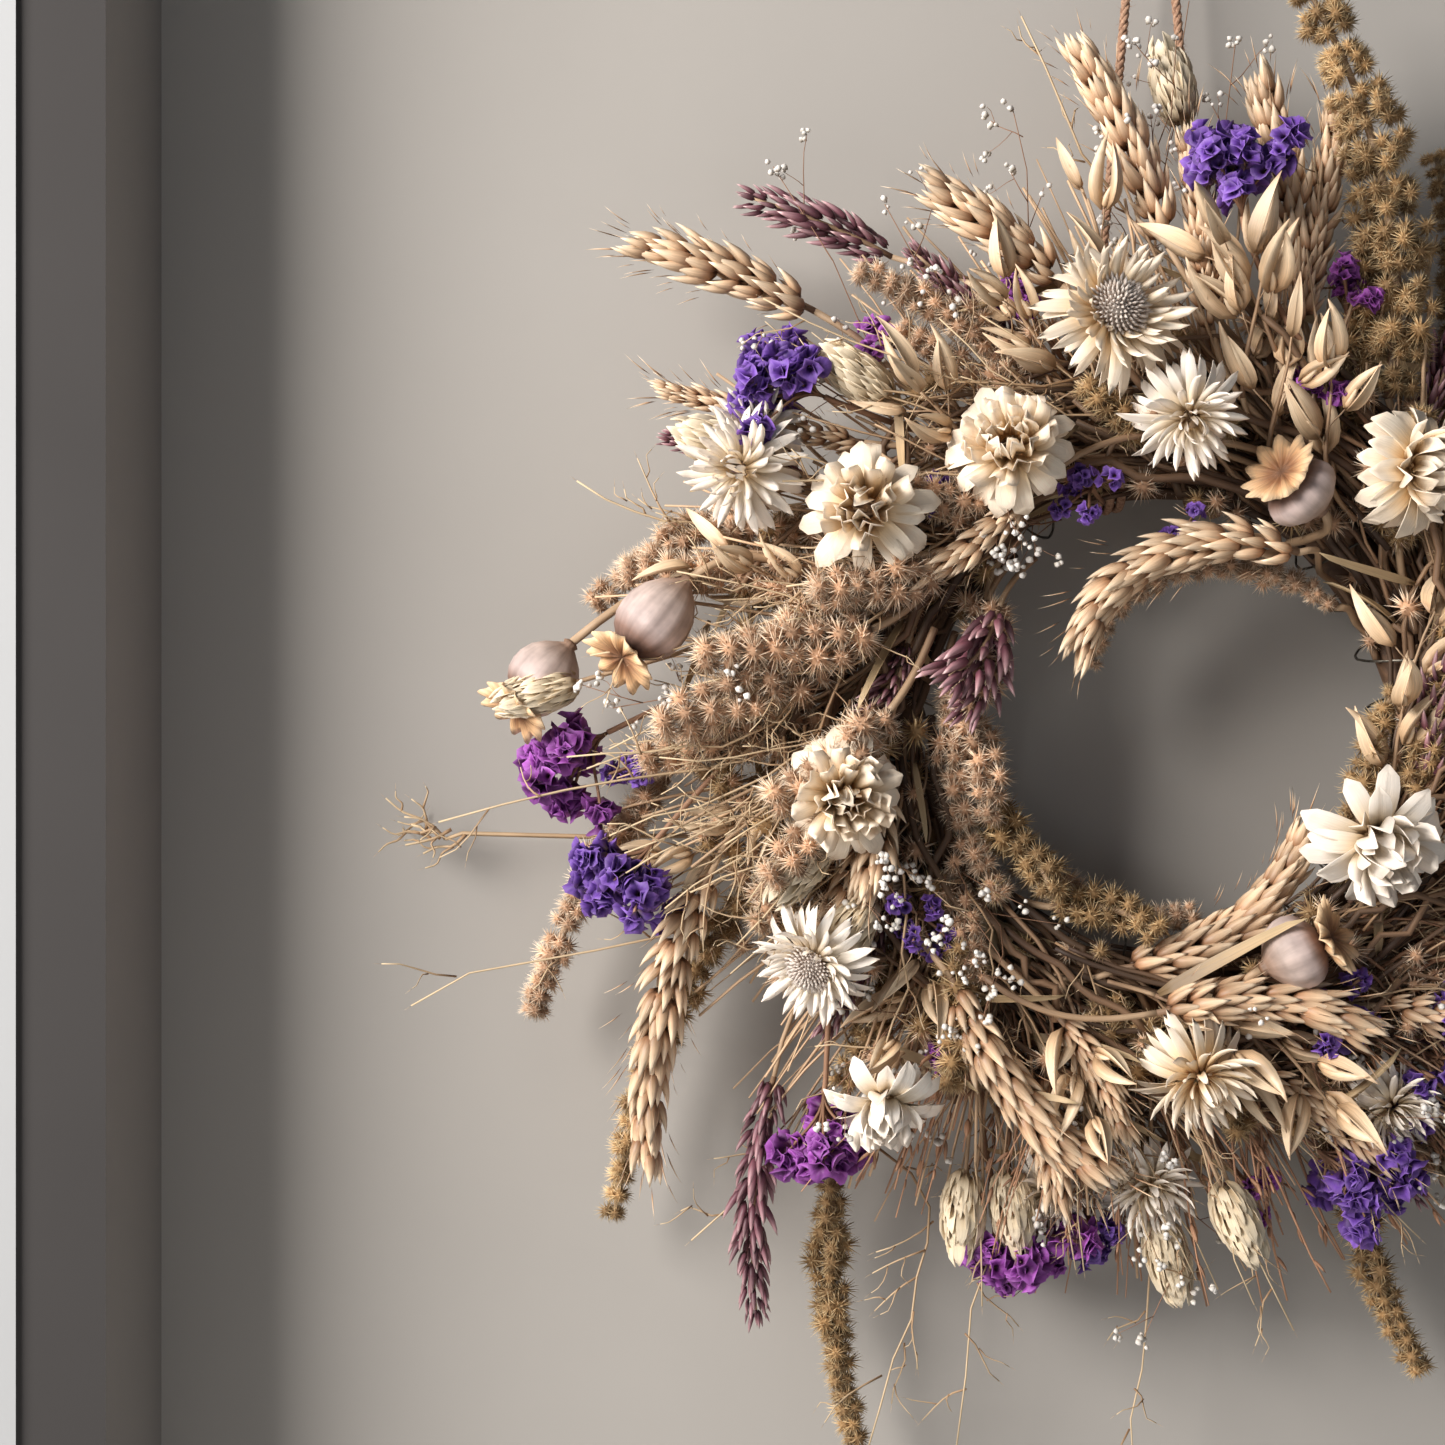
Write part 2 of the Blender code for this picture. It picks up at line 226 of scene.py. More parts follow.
def plain_stage(name, low, high, colour, one_sided=True, shades=True):
    """A flat backdrop between two corners."""
    bm = bmesh.new()
    bmesh.ops.create_grid(bm, x_segments=1, y_segments=1, size=0.5)
    size = [high[i] - low[i] for i in range(3)]
    if size[0] == 0:
        bmesh.ops.rotate(bm, verts=bm.verts, matrix=Matrix.Rotation(math.radians(90), 3, "Y"))
    elif size[2] > 0:
        bmesh.ops.rotate(bm, verts=bm.verts, matrix=Matrix.Rotation(math.radians(90), 3, "X"))
    for vert in bm.verts:
        for i in range(3):
            vert.co[i] = low[i] + size[i] * (vert.co[i] + 0.5) if size[i] > 0 else low[i]
    mesh = bpy.data.meshes.new(name)
    bm.to_mesh(mesh)
    bm.free()
    mesh.materials.append(plaster(name, colour, one_sided, shades))
    piece = bpy.data.objects.new(name, mesh)
    bpy.context.collection.objects.link(piece)
    piece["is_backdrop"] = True


WALL_FRONT = CAD_BOX[1].y + 4 * MM
FLOOR_LEVEL = CAD_BOX[0].z - 0.35
STAGE_TOP = 1.2
JAMB_EDGE = -0.343
JAMB_LEFT = JAMB_EDGE - 0.3
JAMB_FRONT = WALL_FRONT - 70 * MM
FRAME_EDGE = JAMB_EDGE - 28 * MM
FRAME_FRONT = JAMB_FRONT - 2 * MM
plain_stage("wall", (JAMB_EDGE, WALL_FRONT, FLOOR_LEVEL), (1.6, WALL_FRONT, STAGE_TOP),
            (169, 164, 158), shades=False)
plain_stage("jamb_side", (JAMB_EDGE, JAMB_FRONT, FLOOR_LEVEL),
            (JAMB_EDGE, WALL_FRONT, STAGE_TOP), (142, 138, 134))
# The jamb's front is painted dark: painted shade for the recess beside the window frame.
plain_stage("jamb_front", (JAMB_LEFT, JAMB_FRONT, FLOOR_LEVEL),
            (JAMB_EDGE, JAMB_FRONT, STAGE_TOP), (58, 55, 54))
plain_stage("window_frame", (JAMB_LEFT, FRAME_FRONT, FLOOR_LEVEL),
            (FRAME_EDGE, FRAME_FRONT, STAGE_TOP), (174, 175, 176))
plain_stage("floor", (-4, -4, FLOOR_LEVEL), (4, 4, FLOOR_LEVEL), (205, 202, 198),
            one_sided=False)
print("wall at", round(WALL_FRONT, 4), "floor at", round(FLOOR_LEVEL, 4))

# %% [markdown]
# A dried plant repeats one small thing many times: a husk, a bract, a spike. So each small
# thing is made once as a template with a few dozen faces, and copied along the stem. Its UV
# map runs across and along the template, with one column of tones for each variant, so that
# one material can streak it along its length and shade it from base to tip.

# %% Keep a template
UV = "OFBake"
TONES = 5
TEMPLATES = {}


def keep_template(name, bm, tone, slot=0):
    """Stores a bmesh as a template, with its UVs squeezed into its tone's column."""
    layer = bm.loops.layers.uv[UV]
    for face in bm.faces:
        face.material_index = slot
        face.smooth = True
        for loop in face.loops:
            u = min(max(loop[layer].uv.x, 0.02), 0.98)
            loop[layer].uv.x = (tone + u) / TONES
            loop[layer].uv.y = min(max(loop[layer].uv.y, 0.01), 0.99)
    bmesh.ops.triangulate(bm, faces=bm.faces)
    mesh = bpy.data.meshes.new(name)
    bm.to_mesh(mesh)
    bm.free()
    TEMPLATES.setdefault(name, []).append(mesh)


def keep_tones(name, make, slot=0):
    """Keeps one template for each tone; make gives the bmesh of a tone."""
    for tone in range(TONES):
        keep_template(name, make(tone), tone, slot)


print("tones of each template", TONES)

# %% [markdown]
# Two shapes make nearly every small part: a thin cupped blade for petals, glumes and leaves,
# and a closed spindle for grains and husks. An outline gives the width from base to tip.

# %% Blades and husks
BLADE_THICKNESS = 0.14 * MM


def pod(t, peak, sharp):
    """An outline that is 0 at both ends and 1 at its peak."""
    t = min(max(t, 1e-4), 1 - 1e-4)
    return (t / peak) ** (sharp * peak) * ((1 - t) / (1 - peak)) ** (sharp * (1 - peak))


def outline(peak, sharp, base=0.0, cut=1.1, tip=0.0):
    """A width along a template: a base width and a pod, down to a tip past the cut."""
    return lambda t: tip if t >= cut else base + (1 - base) * pod(t, peak, sharp)


def bent(t, length, bend):
    """How far up and how far over a point at a share of a bent length lies, and its turn."""
    turn = bend * t
    if abs(bend) < 1e-3:
        return length * t, 0.0, turn
    return length * math.sin(turn) / bend, length * (1 - math.cos(turn)) / bend, turn


def blade(width, length, shape, cup, bend, rows=6, twist=0.0):
    """A thin petal or leaf along +Z that bends towards +X, with a cupped cross-section."""
    bm = bmesh.new()
    bm.loops.layers.uv.new(UV)
    bmesh.ops.create_grid(bm, x_segments=2, y_segments=rows, size=1, calc_uvs=True)
    for vert in bm.verts:
        across, t = vert.co.x, (vert.co.y + 1) / 2
        half = width / 2 * shape(t)
        far, rise, turn = bent(t, length, bend)
        roll = twist * t
        side = half * across
        fold = cup * half * across * across
        vert.co = Vector((rise + math.cos(turn) * (fold * math.cos(roll) - side * math.sin(roll)),
                          fold * math.sin(roll) + side * math.cos(roll),
                          far - math.sin(turn) * fold))
    bmesh.ops.recalc_face_normals(bm, faces=bm.faces)
    bmesh.ops.solidify(bm, geom=bm.faces, thickness=BLADE_THICKNESS)
    return bm


def spindle(width, depth, length, shape, bend, around, rows):
    """A closed grain or husk along +Z, wide in Y, deep in X, that bends towards +X."""
    bm = bmesh.new()
    bm.loops.layers.uv.new(UV)
    bmesh.ops.create_uvsphere(bm, u_segments=around, v_segments=rows, radius=1, calc_uvs=True)
    for vert in bm.verts:
        t = math.acos(max(-1, min(1, -vert.co.z))) / math.pi
        flat = Vector((vert.co.x, vert.co.y, 0))
        if flat.length > 1e-4:
            flat.normalize()
        size = shape(t)
        x = flat.x * depth / 2 * size
        far, rise, turn = bent(t, length, bend)
        vert.co = Vector((rise + x * math.cos(turn), flat.y * width / 2 * size,
                          far - x * math.sin(turn)))
    return bm


print("blades are", round(BLADE_THICKNESS / MM, 2), "mm thick")

# %% [markdown]
# A template is copied, turned into place and joined with its neighbours. The joined piece is
# tied to its body, and the solid of the frame that it stands for is hidden.

# %% Place and gather
def aim(place, along, outward, size=1.0):
    """The matrix that puts a template at a place, its +Z along and its +X outward."""
    z = Vector(along).normalized()
    x = Vector(outward) - z * z.dot(Vector(outward))
    if x.length < 1e-6:
        x = z.orthogonal()
    x.normalize()
    y = z.cross(x)
    scale = (size, size, size) if isinstance(size, (int, float)) else size
    turned = Matrix((x * scale[0], y * scale[1], z * scale[2])).transposed().to_4x4()
    return Matrix.Translation(place) @ turned


def finish_piece(piece, body, slot_name, replaced):
    """Links a piece, ties it to its body and hides the solids it stands for; slot_name is not
    used.
    """
    bpy.context.collection.objects.link(piece)
    if replaced:
        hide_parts(*replaced)
    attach(piece, body)


def gather(name, placed, materials, slot_name, replaced=(), body="wreath"):
    """One piece made of many placed copies of templates or finished meshes."""
    bm = bmesh.new()
    for mesh, matrix in placed:
        if matrix is None:
            bm.from_mesh(mesh)
            continue
        copy = mesh.copy()
        copy.transform(matrix)
        bm.from_mesh(copy)
        bpy.data.meshes.remove(copy)
    mesh = bpy.data.meshes.new(name)
    bm.to_mesh(mesh)
    bm.free()
    for material in materials:
        mesh.materials.append(material)
    piece = bpy.data.objects.new(name, mesh)
    finish_piece(piece, body, slot_name, replaced)
    return piece


print("solids in the frame", len(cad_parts))

# %% [markdown]
# Stems, twigs and rods are round tubes that follow a line. One straight tube is kept as a
# template, and its vertices are moved onto the line, turning as little as possible.

# %% Follow a line
def straw(around, rows, name):
    """Straight tubes from z = 0 to 1, radius 1: a rolled-up grid with closed ends, per tone."""
    for tone in range(TONES):
        bm = bmesh.new()
        bm.loops.layers.uv.new(UV)
        bmesh.ops.create_grid(bm, x_segments=around, y_segments=rows, size=1, calc_uvs=True)
        for vert in bm.verts:
            turn = math.pi * vert.co.x
            vert.co = Vector((math.cos(turn), math.sin(turn), (vert.co.y + 1) / 2))
        bmesh.ops.remove_doubles(bm, verts=bm.verts, dist=1e-4)
        bmesh.ops.holes_fill(bm, edges=bm.edges, sides=around)
        bmesh.ops.recalc_face_normals(bm, faces=bm.faces)
        keep_template(name, bm, tone, slot=1)
    return TEMPLATES[name]


def line_frames(points):
    """Positions and two cross directions along a line, as arrays."""
    spots = np.array([tuple(p) for p in points], float)
    tangents = np.gradient(spots, axis=0)
    tangents /= np.linalg.norm(tangents, axis=1)[:, None]
    side = np.cross(tangents[0], (0.31, 0.87, 0.38))
    sides = []
    for tangent in tangents:
        side = side - tangent * side.dot(tangent)
        side /= np.linalg.norm(side)
        sides.append(side)
    sides = np.array(sides)
    return spots, tangents, sides, np.cross(tangents, sides)


def follow(tubes, points, radii, tone=0):
    """A copy of a straight tube moved onto a line, with a radius at each point."""
    spots, _, sides, ups = line_frames(points)
    mesh = tubes[tone].copy()
    co = np.empty(len(mesh.vertices) * 3)
    mesh.vertices.foreach_get("co", co)
    co = co.reshape(-1, 3)
    at = np.clip(co[:, 2], 0, 1) * (len(spots) - 1)
    low = np.minimum(at.astype(int), len(spots) - 2)
    share = (at - low)[:, None]
    radii = np.array(radii, float)[:, None]

    def blend(values):
        return values[low] * (1 - share) + values[low + 1] * share

    around = blend(sides) * co[:, :1] + blend(ups) * co[:, 1:2]
    mesh.vertices.foreach_set("co", (blend(spots) + around * blend(radii)).ravel())
    return mesh


STRAW = straw(6, 12, "straw")
FINE_STRAW = straw(4, 8, "fine_straw")
THREAD = straw(3, 4, "thread")


def stalk(tubes, line, radius, tip=None, tone=0):
    """A tube along a line, placed where it is, with radii in mm at its start and its tip."""
    radii = np.linspace(radius, radius if tip is None else tip, len(line)) * MM
    return follow(tubes, line, radii, tone), None


print("straw templates", [len(kind[0].polygons) for kind in (STRAW, FINE_STRAW, THREAD)])

# %% [markdown]
# The line itself is either one curve between two places with given directions, or a rounded
# run through several places at even steps.

# %% Curved lines
def bezier(start, lead, trail, end, t):
    """A point at a share of a curve between two places, drawn towards two others."""
    s = 1 - t
    return start * s ** 3 + lead * (3 * s * s * t) + trail * (3 * s * t * t) + end * t ** 3


def curved_line(start, start_way, end, end_way, count=12, pull=0.38):
    """Points on a smooth line between two places with given directions."""
    gap = (end - start).length
    lead = start + Vector(start_way).normalized() * gap * pull
    trail = end - Vector(end_way).normalized() * gap * pull
    return [bezier(start, lead, trail, end, k / (count - 1)) for k in range(count)]


def run_along(spots):
    """The length of a line up to each of its points."""
    return np.concatenate([[0], np.cumsum(np.linalg.norm(np.diff(spots, axis=0), axis=1))])


def smooth_line(points, count):
    """Evenly spaced points on a rounded line through a few given ones."""
    dense = []
    last = len(points) - 1
    for i in range(last):
        before = points[max(i - 1, 0)]
        after = points[min(i + 2, last)]
        lead = points[i] + (points[i + 1] - before) / 6
        trail = points[i + 1] - (after - points[i]) / 6
        dense += [bezier(points[i], lead, trail, points[i + 1], k / 12) for k in range(12)]
    dense.append(points[last])
    spots = np.array([tuple(p) for p in dense])
    run = run_along(spots)
    want = np.linspace(0, run[-1], count)
    return [Vector(p) for p in np.stack([np.interp(want, run, spots[:, i]) for i in range(3)], 1)]


print("points on a curve", len(curved_line(HOOP_CENTRE, FRONT, HOOP_CENTRE + FRONT, FRONT)))

# %% [markdown]
# The frame holds each plant as a plain swept solid. Reading it back ring by ring gives the
# line of the stem and its thickness, so the fine plant lies exactly where the plain one does.
# A cap is the only flat group of four faces, and from it each next ring is one edge away.

# %% Read a stem's line from the frame
def flat_groups(bm):
    """Sets of faces that lie in one plane and share edges."""
    group = {face: {face} for face in bm.faces}
    for edge in bm.edges:
        if len(edge.link_faces) == 2 and edge.calc_face_angle(1) < 2e-3:
            a, b = (group[f] for f in edge.link_faces)
            if a is not b:
                a |= b
                for face in b:
                    group[face] = a
    return {id(g): g for g in group.values()}.values()


def stem_line(node):
    """The centres and radii of a swept solid's rings, from its bound end to its tip."""
    bm = bmesh.new()
    bm.from_mesh(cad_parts[node].data)
    bmesh.ops.remove_doubles(bm, verts=bm.verts, dist=0.01 * MM)
    caps = []
    for faces in flat_groups(bm):
        corners = {v for f in faces for v in f.verts}
        if len(faces) == 4 and len(corners) == 6:
            middle = sum((v.co for v in corners), Vector()) / 6
            out = Vector((middle.x - HOOP_CENTRE.x, 0, middle.z - HOOP_CENTRE.z))
            near = math.hypot(out.length - HOOP_RADIUS, middle.y - HOOP_CENTRE.y)
            caps.append((near, sorted(corners, key=lambda v: v.index)))
    ring = min(caps, key=lambda c: c[0])[1]
    seen = set(ring)
    centres, radii = [], []
    while ring:
        middle = sum((v.co for v in ring), Vector()) / len(ring)
        centres.append(middle)
        radii.append(sum((v.co - middle).length for v in ring) / len(ring))
        ring = list({e.other_vert(v) for v in ring for e in v.link_edges} - seen)
        seen.update(ring)
    bm.free()
    return centres, radii


def split_stem(node):
    """The stem's line, the head's line and the head's radii, each as rounded lines."""
    centres, radii = stem_line(node)
    first = next((i for i, r in enumerate(radii) if r > 1.35 * radii[0]), len(radii) - 1)
    head = centres[first:] if len(centres) - first > 1 else centres[-2:]
    return smooth_line(centres[:first + 1], 18), smooth_line(head, 40), radii[first:]


LINES = {n: split_stem(n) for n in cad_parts
         if n.split("_")[0] in ("wheat", "amaranth", "strawflower", "statice", "poppy",
                                "plum", "oat", "twig")}
print("read", len(LINES), "stems")

# %% [markdown]
# Every dried surface here is coloured the same way: a colour that changes from base to tip,
# streaks that run along the template, and a tone of its own for each variant. Two node
# groups do this once, and each material gives them its own colours.

# %% Shader groups
def new_group(name, inputs, outputs):
    """An empty node group; inputs are (label, default), outputs are labels."""
    group = bpy.data.node_groups.new(name, "ShaderNodeTree")
    for label, value in inputs:
        socket = group.interface.new_socket(name=label, in_out="INPUT",
                                            socket_type="NodeSocketFloat")
        socket.default_value = value
    for label in outputs:
        group.interface.new_socket(name=label, in_out="OUTPUT", socket_type="NodeSocketFloat")
    return group, group.nodes.new("NodeGroupInput").outputs, \
        group.nodes.new("NodeGroupOutput").inputs


def template_map_group():
    """Across and along one template, and the tone of its variant."""
    group, _, out = new_group("template map", [], ["Across", "Along", "Tone"])
    uv = add_node(group, "UVMap")
    uv.uv_map = UV
    split = add_node(group, "SeparateXYZ", Vector=uv.outputs[0])
    column = maths(group, "MULTIPLY", split.outputs[0], TONES)
    tone = maths(group, "DIVIDE", maths(group, "FLOOR", column), TONES - 1)
    group.links.new(maths(group, "FRACT", column), out["Across"])
    group.links.new(split.outputs[1], out["Along"])
    group.links.new(tone, out["Tone"])
    return group


def streak_group():
    """Fine streaks along a template and larger patches over the whole plant, as masks."""
    group, given, out = new_group("dry streaks", [
        ("Across", 0.0), ("Along", 0.0), ("Tone", 0.0), ("Count", 12.0),
        ("Patch scale", 90.0)], ["Streak", "Patch"])
    vector = add_node(group, "CombineXYZ",
                      X=maths(group, "MULTIPLY", given["Across"], given["Count"]),
                      Y=maths(group, "MULTIPLY", given["Along"], 1.6),
                      Z=maths(group, "MULTIPLY", given["Tone"], 37.0))
    fine = add_node(group, "TexNoise", Scale=1.0, Detail=3.0, Vector=vector.outputs[0])
    patch = add_node(group, "TexNoise", Scale=given["Patch scale"], Detail=2.0,
                     Vector=add_node(group, "TexCoord").outputs["Object"])
    group.links.new(fine.outputs["Fac"], out["Streak"])
    group.links.new(patch.outputs["Fac"], out["Patch"])
    return group


TEMPLATE_MAP = template_map_group()
STREAKS = streak_group()


def dry_material(name, colours, streak=(12, 0.35), tone_spread=0.22, patch=(90, 0.25),
                 roughness=0.62, bump=0.25):
    """A dried plant surface. colours are (share along, screen colour) from base to tip.

    streak and patch are (how many, how strong).
    """
    material, tree, shader = new_material(name)
    where, marks = add_node(tree, "Group"), add_node(tree, "Group")
    where.node_tree, marks.node_tree = TEMPLATE_MAP, STREAKS
    for label in ("Across", "Along", "Tone"):
        tree.links.new(where.outputs[label], marks.inputs[label])
    marks.inputs["Count"].default_value = streak[0]
    marks.inputs["Patch scale"].default_value = patch[0]
    masks = ((where.outputs["Tone"], tone_spread), (marks.outputs["Streak"], streak[1]),
             (marks.outputs["Patch"], patch[1]))
    lighter, lines, patches = (maths(tree, "MULTIPLY_ADD", mask, 2 * spread, 1 - spread)
                               for mask, spread in masks)
    value = maths(tree, "MULTIPLY", maths(tree, "MULTIPLY", lighter, lines), patches)
    tint = add_node(tree, "HueSaturation", Value=value,
                    Color=colour_ramp(tree, where.outputs["Along"], colours))
    tree.links.new(tint.outputs["Color"], shader.inputs["Base Color"])
    rough = maths(tree, "MULTIPLY_ADD", marks.outputs["Streak"], 0.3, roughness - 0.15)
    tree.links.new(rough, shader.inputs["Roughness"])
    relief(tree, shader, marks.outputs["Streak"], bump, 0.3 * MM)
    return material


STRAW_SKIN = dry_material("dry_stem", [(0, (146, 114, 88)), (0.6, (190, 156, 122)),
                                       (1, (206, 174, 140))], streak=(9, 0.3))
print("groups", len(bpy.data.node_groups))

# %% [markdown]
# A head is built by walking along its line and setting small parts round it. Plants that
# have no solid of their own grow on lines that leave the hoop with the swirl. Their parts
# are kept by kind, and each kind becomes one piece of filling at the end.

# %% Walk along a head
def head_walk(line, spacing):
    """Places along a head's line: number, share, position, direction, two cross directions."""
    spots, tangents, _, _ = line_frames(line)
    run = run_along(spots)
    count = max(2, int(run[-1] / spacing))
    for k in range(count):
        t = (k + 0.5) / count
        i = min(int(np.searchsorted(run, t * run[-1])), len(spots) - 1)
        along = Vector(tangents[i])
        side = along.cross(FRONT)
        side = side.normalized() if side.length > 0.2 else along.orthogonal().normalized()
        yield k, t, Vector(spots[i]), along, side, side.cross(along)


def turned(side, other, degrees):
    """A direction between two square ones."""
    a = math.radians(degrees)
    return side * math.cos(a) + other * math.sin(a)


def cross_way(rng, along):
    """A random direction square to another."""
    side = along.orthogonal().normalized()
    return turned(side, along.cross(side), rng.uniform(0, 360))


def leaning(along, outward, degrees):
    """A direction that leans outward from another."""
    a = math.radians(degrees)
    return (along * math.cos(a) + outward * math.sin(a)).normalized()


def swirl_line(base, tip, count=16, pull=0.45):
    """A stem's line from (angle, reach, lift) on the hoop to a tip, leaving along the hoop."""
    turn = math.radians(base[0])
    start, end = on_hoop(*base), on_hoop(*tip)
    way = Vector((-math.sin(turn), -0.15, math.cos(turn)))
    if (tip[0] - base[0]) < 0:
        way = -way
    out = (end - HOOP_CENTRE) * Vector((1, 0.2, 1))
    return curved_line(start, way, end, (end - start).normalized() + out.normalized() * 0.6,
                       count, pull)


def part_of(line, low, high, count=40):
    """The piece of a line between two shares of it, evenly spaced again."""
    last = len(line) - 1
    chosen = line[int(low * last):int(high * last) + 1]
    return smooth_line(chosen, count)


SPARE = {}


def spare(kind, skins, placed, slot_name):
    """Keeps the parts of the plants that have no solid of their own, by kind."""
    SPARE.setdefault(kind, (skins, [], slot_name))[1].extend(placed)


def grow_spare(make, base, tip, share, *details, **more):
    """Parts of a plant on a swirling line, whose head starts at a share of its length."""
    line = swirl_line(base, tip, 30)
    return make(random.Random(repr(tip)), part_of(line, 0, share), part_of(line, share, 1),
                *details, **more)


def nodes_of(kind):
    """The names of the plants of one kind that have a solid in the frame."""
    return [n for n in LINES if n.startswith(kind)]


print("plants to make", len(LINES))

# %% [markdown]
# A wheat ear is a flat zigzag stalk with a plump spikelet at each bend, left and right in
# turn. Each spikelet here is five pointed husks in a fan, and some end in a short awn.

# %% Wheat ears
keep_tones("husk", lambda tone: spindle(3.3 * MM, 2.5 * MM, 10.6 * MM, outline(0.30, 1.7), -0.5,
                                        around=6, rows=5))
keep_tones("awn", lambda tone: spindle(0.45 * MM, 0.45 * MM, 9 * MM, outline(0.15, 1.0), 0.25,
                                       around=3, rows=3))
WHEAT_SKIN = dry_material(
    "wheat_husk", [(0, (72, 44, 30)), (0.22, (156, 114, 82)), (0.55, (214, 182, 148)),
                   (1, (244, 224, 196))], streak=(18, 0.42), tone_spread=0.18, roughness=0.5)
WHEAT_SIZE = 1.34
SPIKELET_STEP = 2.9           # mm of stalk from one spikelet to the next
HUSK_FAN = (-74, -36, 2, 38, 76)


def wheat_parts(rng, stem, head, size=WHEAT_SIZE):
    """A stem and a stalk with spikelets left and right in turn."""
    placed = [stalk(STRAW, stem, 1.15), stalk(STRAW, head, 1.2, 0.6)]
    for k, t, spot, along, side, front in head_walk(head, SPIKELET_STEP * MM * size):
        swell = size * (0.74 + 0.36 * math.sin(math.pi * (0.12 + 0.72 * t)))
        way = side if k % 2 else -side
        for fan in HUSK_FAN:
            outward = turned(way, front, fan + rng.uniform(-9, 9))
            lean = 40 - 18 * t + rng.uniform(-8, 10)
            place = spot + outward * 1.7 * MM * swell
            husk = rng.choice(TEMPLATES["husk"])
            placed.append((husk, aim(place, leaning(along, outward, lean), outward,
                                     swell * rng.uniform(0.76, 1.14))))
            if rng.random() < 0.30 + 0.4 * t:
                tip = place + leaning(along, outward, lean) * 10.0 * MM * swell
                awn = rng.choice(TEMPLATES["awn"])
                placed.append((awn, aim(tip, leaning(along, outward, lean * 0.9), outward,
                                        rng.uniform(0.5, 0.9 + 0.8 * t))))
    return placed


for node in nodes_of("wheat"):
    gather(node + "_husks", wheat_parts(random.Random(node), *LINES[node][:2]),
           [WHEAT_SKIN, STRAW_SKIN], "wheat", [node])
# base and tip as (angle, reach, lift), and size
MORE_WHEAT = [
    ((96, 4, 40), (153, 14, 45), 0.95), ((172, 6, 30), (212, 47, 35), 0.95),
    ((112, 20, 22), (146, 108, 20), 0.8), ((226, 4, 34), (262, 40, 40), 0.9),
    ((64, 10, 30), (88, 100, 26), 0.95), ((20, 10, 30), (48, 96, 28), 0.95),
    ((330, 10, 28), (2, 104, 24), 0.95), ((50, 10, 26), (74, 120, 14), 1.0),
    ((300, 16, 20), (330, 110, 16), 0.95), ((262, 14, 30), (296, 66, 36), 0.95),
    ((232, 12, 42), (300, 20, 50), 1.3), ((284, 10, 26), (318, 62, 40), 1.1),
    ((232, 10, 24), (256, 66, 34), 1.1), ((176, 10, 30), (206, 22, 46), 1.1)]
for base, tip, size in MORE_WHEAT:
    spare("wheat", [WHEAT_SKIN, STRAW_SKIN], grow_spare(wheat_parts, base, tip, 0.5, size),
          "wheat")
print("wheat ears", len(nodes_of("wheat")) + len(MORE_WHEAT))

# %% [markdown]
# Dried amaranth is a chain of soft prickly balls. Each ball is a small core with bristles
# standing out all round, spread evenly by the golden angle.

# %% Prickly balls
GOLDEN = math.pi * (3 - math.sqrt(5))


def prickly_ball(seed, spikes, length, root):
    """A small core with bristles all round; root is the radius of a bristle's foot."""
    rng = random.Random(seed)
    bm = bmesh.new()
    layer = bm.loops.layers.uv.new(UV)
    bmesh.ops.create_icosphere(bm, subdivisions=1, radius=length * 0.40)
    for k in range(spikes):
        z = 1 - 2 * (k + 0.5) / spikes
        r = math.sqrt(1 - z * z)
        way = Vector((r * math.cos(k * GOLDEN), r * math.sin(k * GOLDEN), z))
        way += Vector([rng.gauss(0, 0.26) for _ in range(3)])
        way.normalize()
        far = length * rng.uniform(0.62, 1.16)
        made = bmesh.ops.create_cone(bm, cap_ends=False, segments=3, radius1=root, radius2=0,
                                     depth=far, calc_uvs=False)
        place = aim(way * far / 2, way, way.orthogonal())
        bmesh.ops.transform(bm, matrix=place, verts=made["verts"])
    bmesh.ops.remove_doubles(bm, verts=bm.verts, dist=0.002 * MM)
    for face in bm.faces:
        shade = rng.random()
        for loop in face.loops:
            loop[layer].uv = (shade, loop.vert.co.length / (length * 1.12))
    return bm


keep_tones("tuft", lambda tone: prickly_ball(tone, 106, 7.0 * MM, 0.41 * MM))
keep_tones("loose_tuft", lambda tone: prickly_ball(tone + 9, 82, 7.4 * MM, 0.44 * MM))
AMARANTH_TAN = dry_material(
    "amaranth_tan", [(0.2, (120, 82, 58)), (0.38, (190, 150, 118)), (0.6, (236, 208, 178)),
                     (1, (252, 238, 218))], tone_spread=0.22, roughness=0.8, bump=0.0)
AMARANTH_BROWN = dry_material(
    "amaranth_brown", [(0.2, (100, 74, 46)), (0.42, (160, 126, 84)), (0.68, (214, 184, 138)),
                       (1, (244, 224, 184))], tone_spread=0.22, roughness=0.8, bump=0.0)
print("faces of a ball", len(TEMPLATES["tuft"][0].polygons))

# %% [markdown]
# A few balls sit round the stalk at each step, and they shrink towards the tip. Plumes differ
# in the size of the balls, how far they spread and how many sit in a round.

# %% Amaranth plumes
BROWN_PLUMES = ("01", "02", "07", "08", "13")
# ball size, how far the balls spread round the stalk in mm, balls at each step
PLAIN_PLUME = (1.0, 5.6, 4)
PLUMES = {"01": (0.92, 13.0, 7), "02": (0.75, 8.0, 5), "05": (1.1, 8.5, 4),
          "11": (0.75, 4.0, 3)}
BALL_STEP = 5.0               # mm of stalk from one step to the next
TIP_SWELL = 0.5


